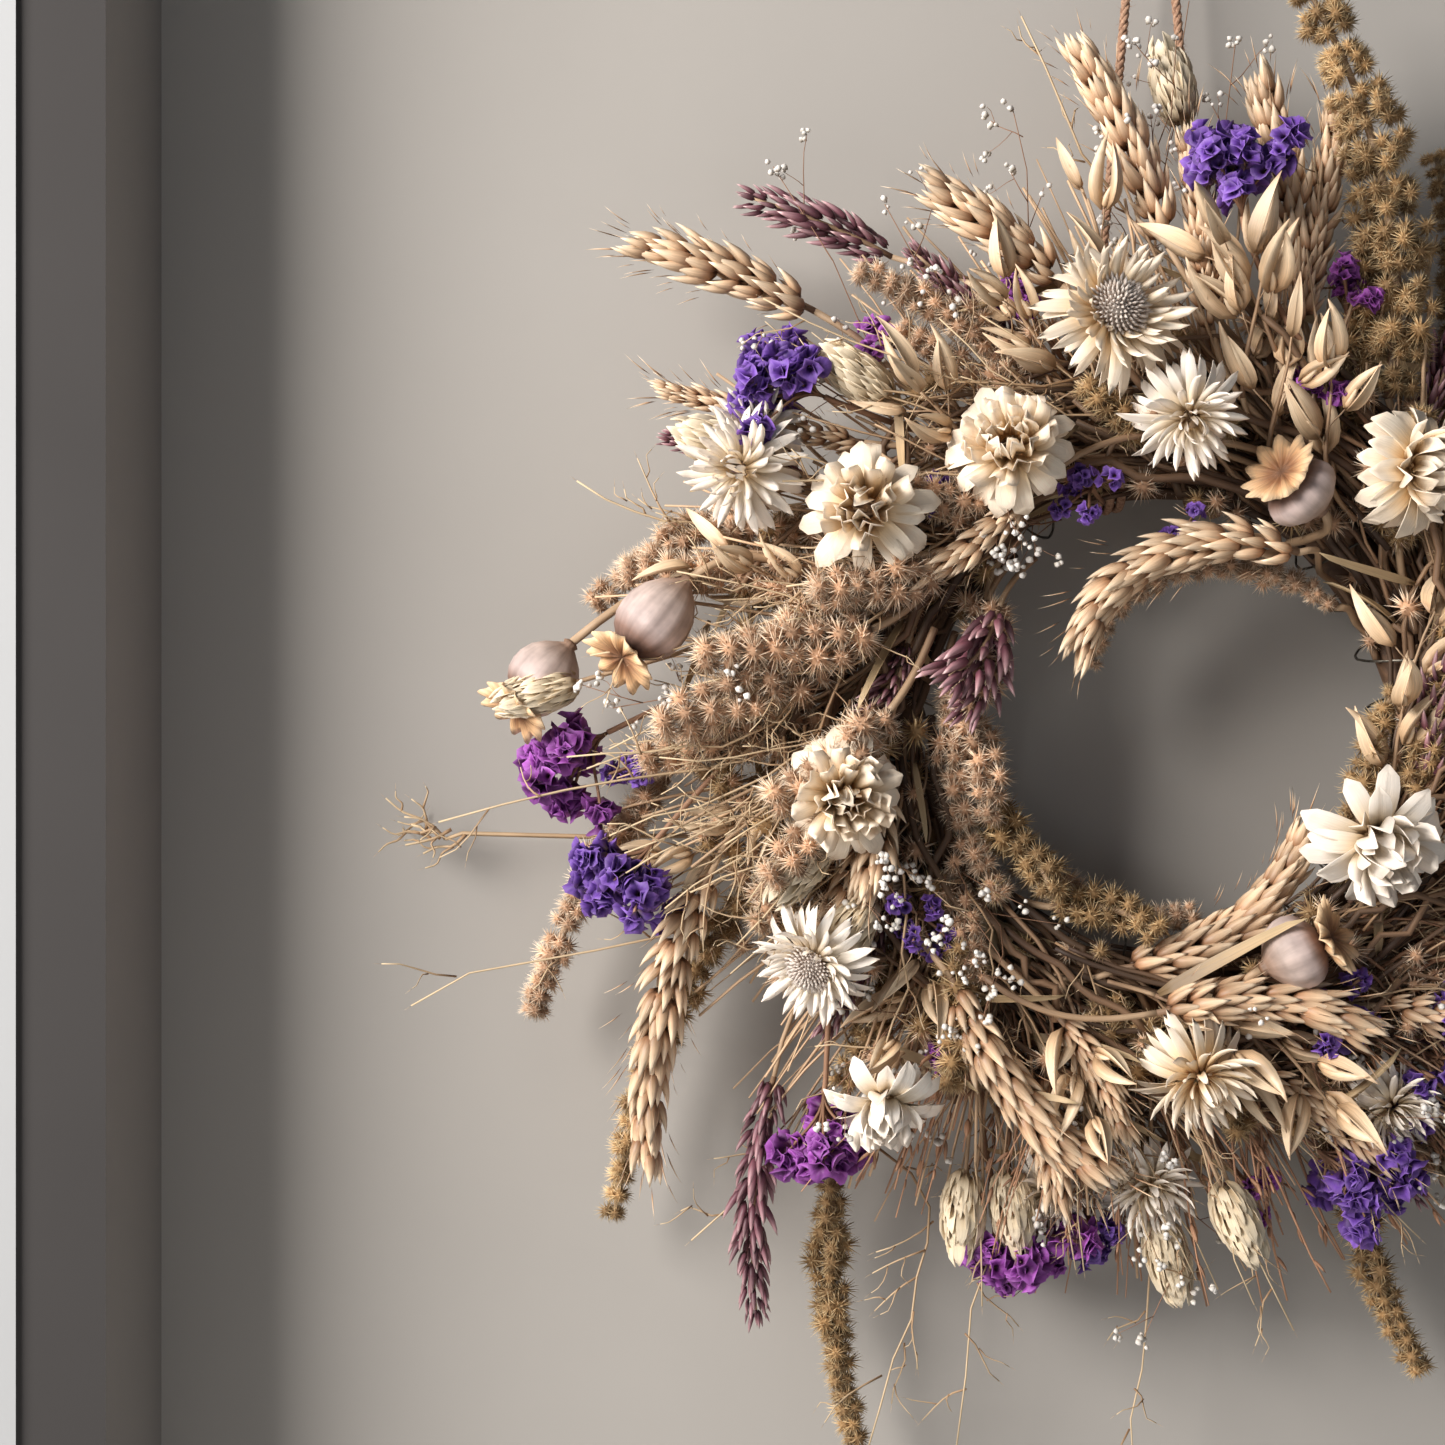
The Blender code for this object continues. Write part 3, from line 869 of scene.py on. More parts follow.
def amaranth_parts(rng, stem, head, plume, tuft="tuft"):
    """A stem and a stalk with rounds of prickly balls."""
    ball, spread, arms = plume
    placed = [stalk(STRAW, stem, 1.3), stalk(STRAW, head, 2.2, 0.8)]
    for k, t, spot, along, side, front in head_walk(head, BALL_STEP * MM * ball):
        swell = (1.0 - (1 - TIP_SWELL) * t ** 1.6) * min(1.0, 0.6 + 2.4 * t)
        swell *= rng.uniform(0.86, 1.12)
        for arm in range(arms):
            outward = turned(side, front, 360 * arm / arms + 75 * k + rng.uniform(-24, 24))
            place = spot + outward * rng.uniform(0.45, 1.0) * spread * swell * MM
            bristles = rng.choice(TEMPLATES[tuft])
            placed.append((bristles, aim(place, leaning(along, outward, 50), outward,
                                         ball * (0.4 + 0.6 * swell) * rng.uniform(0.7, 1.0))))
    return placed


for node in nodes_of("amaranth"):
    skin = AMARANTH_BROWN if node[-2:] in BROWN_PLUMES else AMARANTH_TAN
    parts = amaranth_parts(random.Random(node), *LINES[node][:2],
                           PLUMES.get(node[-2:], PLAIN_PLUME))
    gather(node + "_bristles", parts, [skin, STRAW_SKIN], "amaranth", [node])
# base and tip as (angle, reach, lift), size, brown or not
MORE_AMARANTH = [
    ((330, -6, 20), (9, -16, 30), 0.9, 1), ((272, 10, 8), (292, 142, 10), 1.0, 1),
    ((345, -4, 22), (12, 6, 40), 0.9, 1), ((92, 6, 24), (124, 68, 24), 1.0, 0),
    ((84, 4, 30), (106, 24, 44), 0.9, 1), ((70, 4, 30), (96, 12, 46), 0.9, 0),
    ((144, 0, 36), (172, 66, 55), 1.35, 0), ((150, 14, 34), (180, 78, 53), 1.35, 0),
    ((158, -6, 38), (190, 44, 56), 1.3, 0), ((130, -4, 36), (160, 36, 54), 1.2, 0),
    ((128, -12, 20), (176, -20, 42), 1.1, 0), ((156, -14, 22), (206, -21, 42), 1.1, 0),
    ((186, -14, 18), (234, -22, 38), 1.1, 1), ((222, -14, 18), (266, -22, 34), 1.0, 1),
    ((120, 0, 34), (140, 30, 48), 1.0, 0), ((196, 0, 20), (232, 16, 38), 0.9, 0),
    ((40, 4, 20), (66, 90, 20), 1.2, 1), ((8, 4, 20), (36, 92, 18), 1.2, 1),
    ((310, 4, 20), (344, 86, 18), 1.0, 0), ((124, 4, 18), (156, 74, 20), 1.0, 0),
    ((236, 0, 16), (272, 30, 34), 0.9, 1), ((290, 4, 16), (322, 66, 30), 1.0, 0),
    ((20, 0, 16), (52, 40, 40), 1.0, 1), ((348, 8, 16), (20, 64, 36), 1.0, 0),
    ((176, 6, 16), (206, 62, 26), 1.1, 0), ((204, 6, 14), (228, 70, 20), 1.0, 1),
    ((160, 6, 20), (184, 84, 30), 1.4, 0), ((168, 0, 36), (200, 52, 54), 1.3, 0),
    ((186, 6, 24), (214, 54, 38), 1.2, 0), ((206, 0, 28), (238, 48, 42), 1.1, 1),
    ((244, 0, 24), (280, 44, 36), 1.1, 1), ((134, 10, 20), (164, 96, 26), 1.2, 0)]
for base, tip, size, brown in MORE_AMARANTH:
    kind, skin = (("amaranth_tan", AMARANTH_TAN), ("amaranth_brown", AMARANTH_BROWN))[brown]
    spare(kind, [skin, STRAW_SKIN], grow_spare(amaranth_parts, base, tip, 0.4,
                                               (size, 6 * size, 4), tuft="loose_tuft"),
          "amaranth")
print("amaranth plumes", len(nodes_of("amaranth")) + len(MORE_AMARANTH))

# %% [markdown]
# A strawflower has stiff papery bracts in many layers. The outer ones stand open or bend
# back, the inner ones close over the disc.

# %% Bracts and florets
keep_tones("bract_narrow", lambda tone: blade(
    3.3 * MM, 17 * MM, outline(0.50, 1.9, 0.34, 0.97, 0.04), -0.6, 0.20 + 0.18 * tone,
    twist=0.3 * (tone - 2)))
keep_tones("bract_broad", lambda tone: blade(
    6.0 * MM, 15 * MM, outline(0.58, 1.3, 0.36, 0.97, 0.12), -0.7, (0.20 + 0.18 * tone) * 1.2,
    twist=0.12 * (tone - 2)))
keep_tones("floret", lambda tone: spindle(1.1 * MM, 1.1 * MM, 3.6 * MM, outline(0.6, 1.0), 0.2,
                                          around=3, rows=3), slot=2)
keep_tones("disc_pad", lambda tone: spindle(2, 2, 1, lambda t: math.sin(math.pi * t), 0,
                                            around=12, rows=8), slot=2)

CREAM_BRACT = dry_material(
    "cream_bract", [(0, (196, 142, 84)), (0.25, (232, 202, 158)), (0.65, (250, 234, 212)),
                    (1, (244, 226, 204))], streak=(22, 0.16), tone_spread=0.06,
    patch=(60, 0.10), roughness=0.42, bump=0.35)
WHITE_BRACT = dry_material(
    "white_bract", [(0, (200, 166, 116)), (0.22, (238, 220, 192)), (0.65, (252, 242, 230)),
                    (1, (246, 232, 216))], streak=(22, 0.14), tone_spread=0.05,
    patch=(60, 0.08), roughness=0.42, bump=0.35)
DISC_FLORETS = dry_material(
    "disc_florets", [(0, (168, 144, 128)), (0.5, (200, 184, 172)), (1, (232, 222, 212))],
    tone_spread=0.12, roughness=0.85, bump=0.0)
print("faces of a bract", len(TEMPLATES["bract_broad"][0].polygons))

# %% [markdown]
# Each kind of flower is a plan: which bract, how wide a disc, and the layers from the outside
# in. The florets on a disc are laid out by the golden angle.

# %% Strawflowers
# bract, disc radius in mm, layers as (count, opening in degrees, length)
OPEN_DAISY = ("bract_narrow", 6.8, [(24, 106, 1.0), (26, 90, 1.1), (26, 76, 1.0),
                                    (24, 62, 0.72)])
DOUBLE = ("bract_broad", 0, [(14, 104, 1.0), (15, 86, 1.05), (14, 68, 0.95),
                             (12, 50, 0.85), (10, 34, 0.74), (8, 18, 0.62), (4, 6, 0.5)])
SHAGGY = ("bract_narrow", 0, [(18, 124, 1.05), (18, 102, 1.05), (16, 80, 0.95),
                              (14, 60, 0.85), (11, 38, 0.7), (8, 16, 0.55)])
BUD = ("bract_broad", 0, [(10, 84, 1.1), (10, 62, 1.05), (9, 44, 0.95), (8, 28, 0.9),
                          (6, 12, 0.8)])
DISC_FLORET_COUNT = 190
# number of the flower: plan, skin, size, how far it looks sideways and upward
FLOWERS = {"01": (OPEN_DAISY, CREAM_BRACT, 1.12, 0.35, 0.25),
           "02": (DOUBLE, CREAM_BRACT, 1.12, -0.30, 0.25),
           "03": (SHAGGY, WHITE_BRACT, 1.0, 0.1, -0.75),
           "04": (DOUBLE, CREAM_BRACT, 1.15, 0.75, -0.1),
           "05": (SHAGGY, WHITE_BRACT, 1.05, -0.45, 0.0),
           "06": (BUD, CREAM_BRACT, 1.1, -0.2, 0.05),
           "07": (DOUBLE, CREAM_BRACT, 1.1, 0.1, -0.1),
           "08": (OPEN_DAISY, WHITE_BRACT, 0.92, -0.75, -0.65),
           "09": (BUD, WHITE_BRACT, 1.2, 0.1, -0.35),
           "10": (BUD, WHITE_BRACT, 0.95, 0.0, -0.95),
           "11": (SHAGGY, CREAM_BRACT, 1.05, 0.3, -0.7),
           "12": (DOUBLE, CREAM_BRACT, 1.0, 0.3, 0.2),
           "13": (OPEN_DAISY, WHITE_BRACT, 1.0, 0.6, 0.3)}


def strawflower_parts(rng, plan, centre, facing, size):
    """Layers of bracts from the outside in, and a disc of florets if the plan has one."""
    bract, disc, layers = plan
    facing = facing.normalized()
    side = facing.orthogonal().normalized()
    other = facing.cross(side)
    placed = []
    for level, (count, opening, length) in enumerate(layers):
        ring = (disc * 0.62 if disc else 2.6) * (1 - 0.62 * level / len(layers)) + 1.2
        depth = (-4.0 + 6.5 * level / len(layers)) * MM * size
        if disc:
            ring, depth = disc * 0.75, (-3.4 + 0.5 * level) * MM * size
        for k in range(count):
            turn = 360 * (k + 0.5 * (level % 2)) / count + rng.uniform(-8, 8)
            outward = turned(side, other, turn)
            spread = opening + rng.uniform(-11, 11)
            way = leaning(facing, outward, spread)
            bend_to = -facing if spread > 62 and level < 2 else facing - way * facing.dot(way)
            if spread < 30:
                bend_to = -outward
            place = centre + outward * ring * MM * size + facing * depth
            paper = rng.choice(TEMPLATES[bract])
            placed.append((paper, aim(place, way, bend_to,
                                      size * length * rng.uniform(0.86, 1.12))))
    if disc:
        pad = (disc * size * MM, disc * size * MM, 6 * size * MM)
        placed.append((TEMPLATES["disc_pad"][4], aim(centre - facing * 3.4 * size * MM, facing,
                                                     side, pad)))
    for k in range(DISC_FLORET_COUNT if disc else 0):
        r = disc * math.sqrt((k + 0.5) / DISC_FLORET_COUNT)
        outward = turned(side, other, math.degrees(k * GOLDEN))
        dome = 3.6 * (1 - (r / disc) ** 2)
        place = centre + (outward * r + facing * (dome - 1.0)) * MM * size
        floret = rng.choice(TEMPLATES["floret"])
        placed.append((floret, aim(place, leaning(facing, outward, 60 * r / disc), outward,
                                   size * rng.uniform(0.8, 1.2))))
    return placed


for node in nodes_of("strawflower"):
    stem, head, _ = LINES[node]
    plan, skin, size, sideways, upward = FLOWERS[node[-2:]]
    placed = [stalk(STRAW, stem + head[4:30:6], 1.2)]
    placed += strawflower_parts(random.Random(node), plan, head[-1] - FRONT * 3 * MM,
                                Vector((sideways, -1, upward)), size)
    gather(node + "_bracts", placed, [skin, STRAW_SKIN, DISC_FLORETS], "strawflower", [node])
# angle, reach, lift, the flower whose plan it has, where it looks, size
MORE_FLOWERS = [
    (256, 70, 24, "11", (-0.2, -0.9), 0.8), (268, 63, 28, "03", (0.3, -0.8), 0.9),
    (145, 78, 34, "05", (-0.5, 0.3), 0.85), (33, 62, 34, "07", (0.3, 0.4), 0.9),
    (300, 54, 36, "05", (0.4, -0.6), 0.85)]
for angle, reach, lift, kind, (sideways, upward), size in MORE_FLOWERS:
    spare("strawflower", [WHITE_BRACT, STRAW_SKIN, DISC_FLORETS],
          strawflower_parts(random.Random(angle), FLOWERS[kind][0], on_hoop(angle, reach, lift),
                            Vector((sideways, -1, upward)), size), "strawflower")
print("strawflowers", len(nodes_of("strawflower")) + len(MORE_FLOWERS))

# %% [markdown]
# Statice keeps its colour when it dries, because what looks like its petals is a ruffled
# papery cup. A sprig is a flat spray of short branches, and each branch ends in a cluster of
# cups that look outward.

# %% Statice sprigs
def ruffled_cup(seed):
    """An open cup along +Z with four or five lobes and a wavy rim."""
    rng = random.Random(seed)
    bm = bmesh.new()
    bm.loops.layers.uv.new(UV)
    bmesh.ops.create_grid(bm, x_segments=10, y_segments=2, size=1, calc_uvs=True)
    lobes, phase = rng.choice((4, 5)), rng.uniform(0, math.tau)
    for vert in bm.verts:
        t = (vert.co.y + 1) / 2
        turn = math.pi * vert.co.x
        r = (0.45 + 2.9 * t ** 2.0) * (1 + 0.26 * t * t * math.cos(lobes * turn + phase))
        rise = 6.4 * t - 1.3 * t ** 4 + 0.8 * t ** 3 * math.sin(2 * turn + phase)
        vert.co = Vector((r * math.cos(turn), r * math.sin(turn), rise)) * MM
    bmesh.ops.remove_doubles(bm, verts=bm.verts, dist=0.001 * MM)
    bmesh.ops.recalc_face_normals(bm, faces=bm.faces)
    bmesh.ops.solidify(bm, geom=bm.faces, thickness=0.1 * MM)
    return bm


keep_tones("cup", ruffled_cup)
VIOLET_CUP = dry_material(
    "violet_cup", [(0, (104, 84, 76)), (0.35, (84, 50, 112)), (0.75, (96, 58, 146)),
                   (1, (128, 92, 172))], streak=(26, 0.42), tone_spread=0.28,
    patch=(70, 0.22), roughness=0.62, bump=0.25)
MAGENTA_CUP = dry_material(
    "magenta_cup", [(0, (112, 84, 74)), (0.35, (104, 48, 104)), (0.75, (126, 54, 136)),
                    (1, (156, 86, 168))], streak=(26, 0.42), tone_spread=0.28,
    patch=(70, 0.22), roughness=0.62, bump=0.25)
BROWN_STEM = dry_material("brown_stem", [(0, (130, 92, 66)), (1, (182, 138, 108))],
                          streak=(7, 0.3), roughness=0.7)
MAGENTA_SPRIGS = ("03", "05", "06")


def statice_parts(rng, start, way, size, arms, cups):
    """Short branches that fan out from a stem's end, each with a tight cluster of cups."""
    placed = []
    way = way.normalized()
    side = way.cross(FRONT)
    side = side.normalized() if side.length > 0.2 else way.orthogonal().normalized()
    other = side.cross(way)
    for arm in range(arms):
        outward = turned(side, other, 360 * arm / arms + rng.uniform(-20, 20))
        direction = leaning(way, outward, rng.uniform(12, 56) if arm else 5)
        end = start + direction * size * rng.uniform(12, 25) * MM
        line = curved_line(start, way, end, direction, count=8)
        placed.append(stalk(FINE_STRAW, line, 0.55))
        for _ in range(cups):
            away = cross_way(rng, direction)
            look = leaning(direction, away, rng.uniform(8, 80))
            place = end - direction * rng.uniform(0, 7.0) * MM * size + look * 0.8 * MM
            cup = rng.choice(TEMPLATES["cup"])
            placed.append((cup, aim(place, look, away, size * rng.uniform(0.56, 0.92))))
    return placed


for node in nodes_of("statice"):
    stem, head, _ = LINES[node]
    placed = [stalk(STRAW, stem + head[:5], 1.0)]
    placed += statice_parts(random.Random(node), head[4], head[-1] - head[0], 1.25, 12, 17)
    skin = MAGENTA_CUP if node[-2:] in MAGENTA_SPRIGS else VIOLET_CUP
    gather(node + "_cups", placed, [skin, BROWN_STEM], "statice", [node])
# start and tip as (angle, reach, lift), size, magenta or not
MORE_STATICE = [
    ((60, 10, 20), (69, 42, 34), 0.9, 1), ((120, 40, 10), (129, 90, 24), 0.8, 1),
    ((130, 6, 24), (139, 28, 42), 0.7, 0), ((106, -14, 24), (112, -4, 46), 0.7, 0),
    ((82, -22, 20), (88, -28, 32), 0.6, 0), ((212, 4, 22), (220, 20, 44), 0.75, 0),
    ((230, 20, 20), (238, 44, 34), 0.8, 1), ((288, 4, 24), (300, 22, 42), 0.9, 0),
    ((296, 30, 14), (303, 66, 30), 1.0, 0), ((300, 40, 10), (308, 92, 22), 0.9, 0),
    ((292, 50, 8), (298, 98, 20), 0.9, 0), ((306, 20, 20), (316, 44, 36), 0.9, 0),
    ((250, 60, 8), (258, 112, 22), 0.9, 1), ((258, 60, 8), (264, 90, 22), 0.8, 0),
    ((180, 60, 8), (187, 108, 22), 0.7, 0), ((30, 40, 14), (37, 88, 26), 1.0, 0),
    ((2, 60, 10), (8, 106, 20), 0.9, 1), ((340, 40, 10), (347, 78, 26), 0.9, 0),
    ((104, 30, 14), (111, 74, 30), 0.7, 1), ((276, 40, 12), (282, 84, 24), 0.8, 1),
    ((304, 30, 20), (311, 64, 34), 1.1, 0), ((308, 46, 12), (316, 80, 26), 1.0, 0),
    ((312, 60, 10), (318, 100, 20), 1.0, 0), ((64, 40, 16), (68, 74, 30), 0.9, 1)]
for base, tip, size, magenta in MORE_STATICE:
    start, end = on_hoop(*base), on_hoop(*tip)
    middle = start + (end - start) * 0.45
    placed = [stalk(FINE_STRAW, [start, middle, middle + (end - start) * 0.1], 0.9)]
    placed += statice_parts(random.Random(repr(tip)), middle, end - start, size, 6, 11)
    kind, skin = (("statice_violet", VIOLET_CUP), ("statice_magenta", MAGENTA_CUP))[magenta]
    spare(kind, [skin, BROWN_STEM], placed, "statice")
print("statice sprigs", len(nodes_of("statice")) + len(MORE_STATICE))

# %% [markdown]
# A dry poppy head is a ribbed capsule under a flat crown with rays. It is round about its
# axis, so a profile is spun into a surface, and the ribs and the scalloped rim are pressed
# into it afterwards.

# %% Poppy heads
RAYS = 11


def spun(profile, steps, shape, flat=False):
    """A profile turned about Z. shape(turn, radius) gives the radius factor and the rise."""
    bm = bmesh.new()
    layer = bm.loops.layers.uv.new(UV)
    corners = [bm.verts.new((r, 0, z)) for r, z in profile]
    edges = [bm.edges.new(pair) for pair in zip(corners, corners[1:])]
    bmesh.ops.spin(bm, geom=corners + edges, cent=(0, 0, 0), axis=(0, 0, 1),
                   angle=math.tau, steps=steps, use_merge=True, use_normal_flip=False)
    bmesh.ops.remove_doubles(bm, verts=bm.verts, dist=1e-6)
    bmesh.ops.recalc_face_normals(bm, faces=bm.faces)
    low, high = profile[0][1], profile[-1][1]
    for face in bm.faces:
        middle = face.calc_center_median()
        base = math.atan2(middle.y, middle.x)
        for loop in face.loops:
            turn = math.atan2(loop.vert.co.y, loop.vert.co.x)
            turn += math.tau * round((base - turn) / math.tau)
            rays = turn / math.tau * RAYS - math.floor(base / math.tau * RAYS)
            loop[layer].uv = (rays, (loop.vert.co.z - low) / (high - low))
            if flat:
                loop[layer].uv.y = math.hypot(loop.vert.co.x, loop.vert.co.y)
    for vert in bm.verts:
        turn = math.atan2(vert.co.y, vert.co.x)
        factor, rise = shape(turn, math.hypot(vert.co.x, vert.co.y))
        vert.co = Vector((vert.co.x * factor, vert.co.y * factor, vert.co.z + rise))
    return bm


CAPSULE = [(0.0, -0.02), (0.16, 0.0), (0.24, 0.03), (0.20, 0.07), (0.34, 0.12), (0.62, 0.22),
           (0.86, 0.36), (0.98, 0.52), (1.0, 0.66), (0.94, 0.80), (0.78, 0.92), (0.56, 1.0),
           (0.42, 1.05), (0.0, 1.06)]
CROWN = [(0.0, 0.0), (0.36, 0.02), (0.42, 0.06), (0.60, 0.10), (0.80, 0.16), (0.82, 0.20),
         (0.60, 0.19), (0.40, 0.17), (0.20, 0.17), (0.0, 0.18)]
keep_tones("capsule", lambda tone: spun(CAPSULE, RAYS * 5, lambda turn, r: (
    1 + 0.022 * math.cos(RAYS * turn) + 0.02 * math.sin(2 * turn + tone), 0)))
keep_tones("crown", lambda tone: spun(CROWN, RAYS * 6, lambda turn, r: (
    1 + 0.10 * max(0, r - 0.4) / 0.4 * math.cos(RAYS * turn),
    0.16 * min(r, 0.5) * 2 * abs(math.cos(RAYS * turn / 2)) + 0.16 * max(0, r - 0.4) *
    math.sin(3 * turn + tone)), flat=True), slot=2)
POPPY_SKIN = dry_material(
    "poppy_capsule", [(0, (120, 88, 64)), (0.12, (150, 122, 104)), (0.35, (188, 168, 158)),
                      (0.7, (192, 172, 166)), (0.86, (128, 100, 88)), (1, (86, 62, 52))],
    streak=(4, 0.26), tone_spread=0.06, patch=(190, 0.42), roughness=0.6, bump=0.3)
CROWN_SKIN = dry_material(
    "poppy_crown", [(0, (84, 54, 36)), (0.3, (150, 104, 70)), (0.6, (214, 172, 128)),
                    (1, (244, 220, 184))],
    streak=(10, 0.7), tone_spread=0.06, roughness=0.7, bump=0.5)

for node in nodes_of("poppy"):
    rng = random.Random(node)
    stem, head, radii = LINES[node]
    axis = (head[-1] - head[0]).normalized()
    round_size = max(radii)
    reach = (head[-1] - head[0]).length
    tone = rng.randrange(TONES)
    body_size = (round_size, round_size, reach * 0.78)
    crown_size = round_size * 1.25
    crown_way = axis + FRONT * 0.45
    placed = [stalk(STRAW, stem, 1.5),
              (TEMPLATES["capsule"][tone], aim(head[0], axis, FRONT, body_size)),
              (TEMPLATES["crown"][tone], aim(head[0] + axis * reach * 0.84 + FRONT * 2 * MM,
                                             crown_way, FRONT, crown_size))]
    gather(node + "_capsule", placed, [POPPY_SKIN, STRAW_SKIN, CROWN_SKIN], "poppy", [node])
print("poppy heads", len(nodes_of("poppy")))

# %% [markdown]
# Plum grass is a spike of small pointed spikelets, dark at the base and paler at the tip.

# %% Plum grass
keep_tones("small_husk", lambda tone: spindle(2.4 * MM, 1.6 * MM, 9.0 * MM, outline(0.4, 1.2),
                                              -0.3, around=4, rows=4), slot=1)
keep_tones("spikelet", lambda tone: spindle(2.3 * MM, 1.9 * MM, 9.0 * MM, outline(0.30, 1.3),
                                            -0.35, around=5, rows=5))
PLUM_SKIN = dry_material(
    "plum_spikelet", [(0, (66, 30, 40)), (0.4, (112, 68, 78)), (0.8, (168, 130, 134)),
                      (1, (206, 178, 176))], streak=(9, 0.3), tone_spread=0.32, roughness=0.5)


def plum_parts(rng, stem, head, size):
    """A stem and a spike with six spikelets at each step."""
    placed = [stalk(FINE_STRAW, stem, 1.0), stalk(FINE_STRAW, head, 1.0, 0.5)]
    for k, t, spot, along, side, front in head_walk(head, 3.3 * MM * size):
        swell = size * math.sin(math.pi * (0.22 + 0.66 * t)) ** 0.6
        for arm in range(6):
            outward = turned(side, front, 60 * arm + 34 * k + rng.uniform(-16, 16))
            lean = rng.uniform(16, 44)
            place = spot + outward * rng.uniform(1.2, 3.8) * MM * swell
            spikelet = rng.choice(TEMPLATES["spikelet"])
            placed.append((spikelet, aim(place, leaning(along, outward, lean), outward,
                                         swell * rng.uniform(0.78, 1.25))))
    return placed


for node in nodes_of("plum"):
    gather(node + "_spikelets", plum_parts(random.Random(node), *LINES[node][:2], 1.15),
           [PLUM_SKIN, STRAW_SKIN], "plum_grass", [node])
MORE_PLUM = [
    ((128, -20, 24), (168, -14, 50), 1.7), ((134, -16, 24), (176, -20, 46), 1.3),
    ((348, 0, 24), (15, 5, 40), 1.1), ((134, 40, 14), (150, 100, 22), 0.9),
    ((96, 30, 16), (118, 88, 20), 0.9), ((268, 20, 20), (298, 84, 26), 0.9),
    ((196, 10, 16), (222, 62, 22), 0.9), ((290, 20, 14), (318, 104, 20), 1.0),
    ((30, 20, 14), (56, 98, 22), 1.0), ((150, 0, 26), (178, 12, 42), 0.8)]
for base, tip, size in MORE_PLUM:
    spare("plum", [PLUM_SKIN, STRAW_SKIN], grow_spare(plum_parts, base, tip, 0.4, size),
          "plum_grass")
print("plum grass", len(nodes_of("plum")) + len(MORE_PLUM))

# %% [markdown]
# Oats hang in pairs of long papery glumes on fine threads, with a grain between each pair.

# %% Oats
keep_tones("glume", lambda tone: blade(
    5.4 * MM, 26 * MM, outline(0.34, 1.9, 0.10, 0.98, 0.02), 1.5, -0.10 - 0.06 * tone, rows=7,
    twist=0.1 * (tone - 2)))
PAPER_SKIN = dry_material(
    "oat_paper", [(0, (146, 112, 80)), (0.2, (204, 172, 136)), (0.7, (234, 210, 178)),
                  (1, (216, 184, 150))], streak=(22, 0.36), tone_spread=0.12,
    patch=(60, 0.14), roughness=0.45)


def oat_pair(rng, place, way, size=1.0):
    """Two glumes that face each other, with a grain between them."""
    way = way.normalized()
    side = cross_way(rng, way)
    opening = rng.uniform(1, 8)
    placed = [(rng.choice(TEMPLATES["husk"]), aim(place, way, side, size * 0.95))]
    for outward in (side, -side):
        glume = rng.choice(TEMPLATES["glume"])
        placed.append((glume, aim(place + outward * 0.9 * MM * size,
                                  leaning(way, outward, opening), outward,
                                  size * rng.uniform(0.74, 1.08))))
    return placed


def oat_parts(rng, stem, head, count, size=1.0):
    """A stem with pairs of glumes that hang on threads round its upper part."""
    placed = [stalk(FINE_STRAW, stem, 0.9), stalk(FINE_STRAW, head, 0.9, 0.4)]
    for k in range(count):
        i = int((k + 0.5) / count * (len(head) - 3)) + 1
        along = (head[i + 1] - head[i - 1]).normalized()
        side = along.orthogonal().normalized()
        outward = turned(side, along.cross(side), 137 * k + rng.uniform(-20, 20))
        way = leaning(along, outward, rng.uniform(12, 48))
        start = head[i] + way * rng.uniform(5, 15) * MM * size
        placed.append(stalk(THREAD, curved_line(head[i], along, start, way, count=6), 0.3))
        placed += oat_pair(rng, start, leaning(way, -along, rng.uniform(-14, 14)), size)
    return placed


for node in nodes_of("oat"):
    gather(node + "_glumes", oat_parts(random.Random(node), *LINES[node][:2], 8),
           [PAPER_SKIN, STRAW_SKIN], "oat", [node])
# base and tip, and how many pairs of glumes
MORE_OATS = [
    ((60, -6, 30), (74, 40, 44), 5), ((68, 8, 30), (80, 66, 44), 4),
    ((48, 0, 30), (66, 30, 43), 5), ((206, 0, 26), (229, 46, 34), 6),
    ((340, -4, 24), (24, 0, 42), 9), ((96, 20, 26), (112, 62, 38), 6),
    ((150, 12, 26), (160, 70, 34), 6), ((256, -4, 30), (278, 14, 43), 7),
    ((240, 0, 26), (256, 34, 42), 6), ((322, 0, 24), (346, 30, 44), 8),
    ((276, 6, 28), (292, 42, 44), 6), ((120, 20, 30), (128, 46, 44), 5),
    ((4, 20, 20), (18, 66, 36), 8), ((88, 30, 20), (99, 84, 30), 4),
    ((296, 30, 14), (312, 76, 26), 7), ((180, 30, 20), (196, 78, 24), 5)]
for base, tip, count in MORE_OATS:
    spare("oat", [PAPER_SKIN, STRAW_SKIN], grow_spare(oat_parts, base, tip, 0.35, count, 0.9),
          "oat")
print("oats", len(nodes_of("oat")) + len(MORE_OATS))

# %% [markdown]
# Canary grass is a short fat head of overlapping scales on a thin stem.

# %% Canary grass
keep_tones("scale", lambda tone: blade(3.4 * MM, 10 * MM, outline(0.40, 1.6, 0.3, 0.97, 0.05),
                                       0.9, -0.5, rows=4))
CANARY_SKIN = dry_material(
    "canary_scale", [(0, (146, 122, 90)), (0.5, (220, 202, 172)), (1, (240, 224, 198))],
    streak=(10, 0.22), tone_spread=0.12, roughness=0.55)
CANARY_LENGTH = 26            # mm, of the head
CANARY_WIDTH = 13
CANARY_SCALES = 64


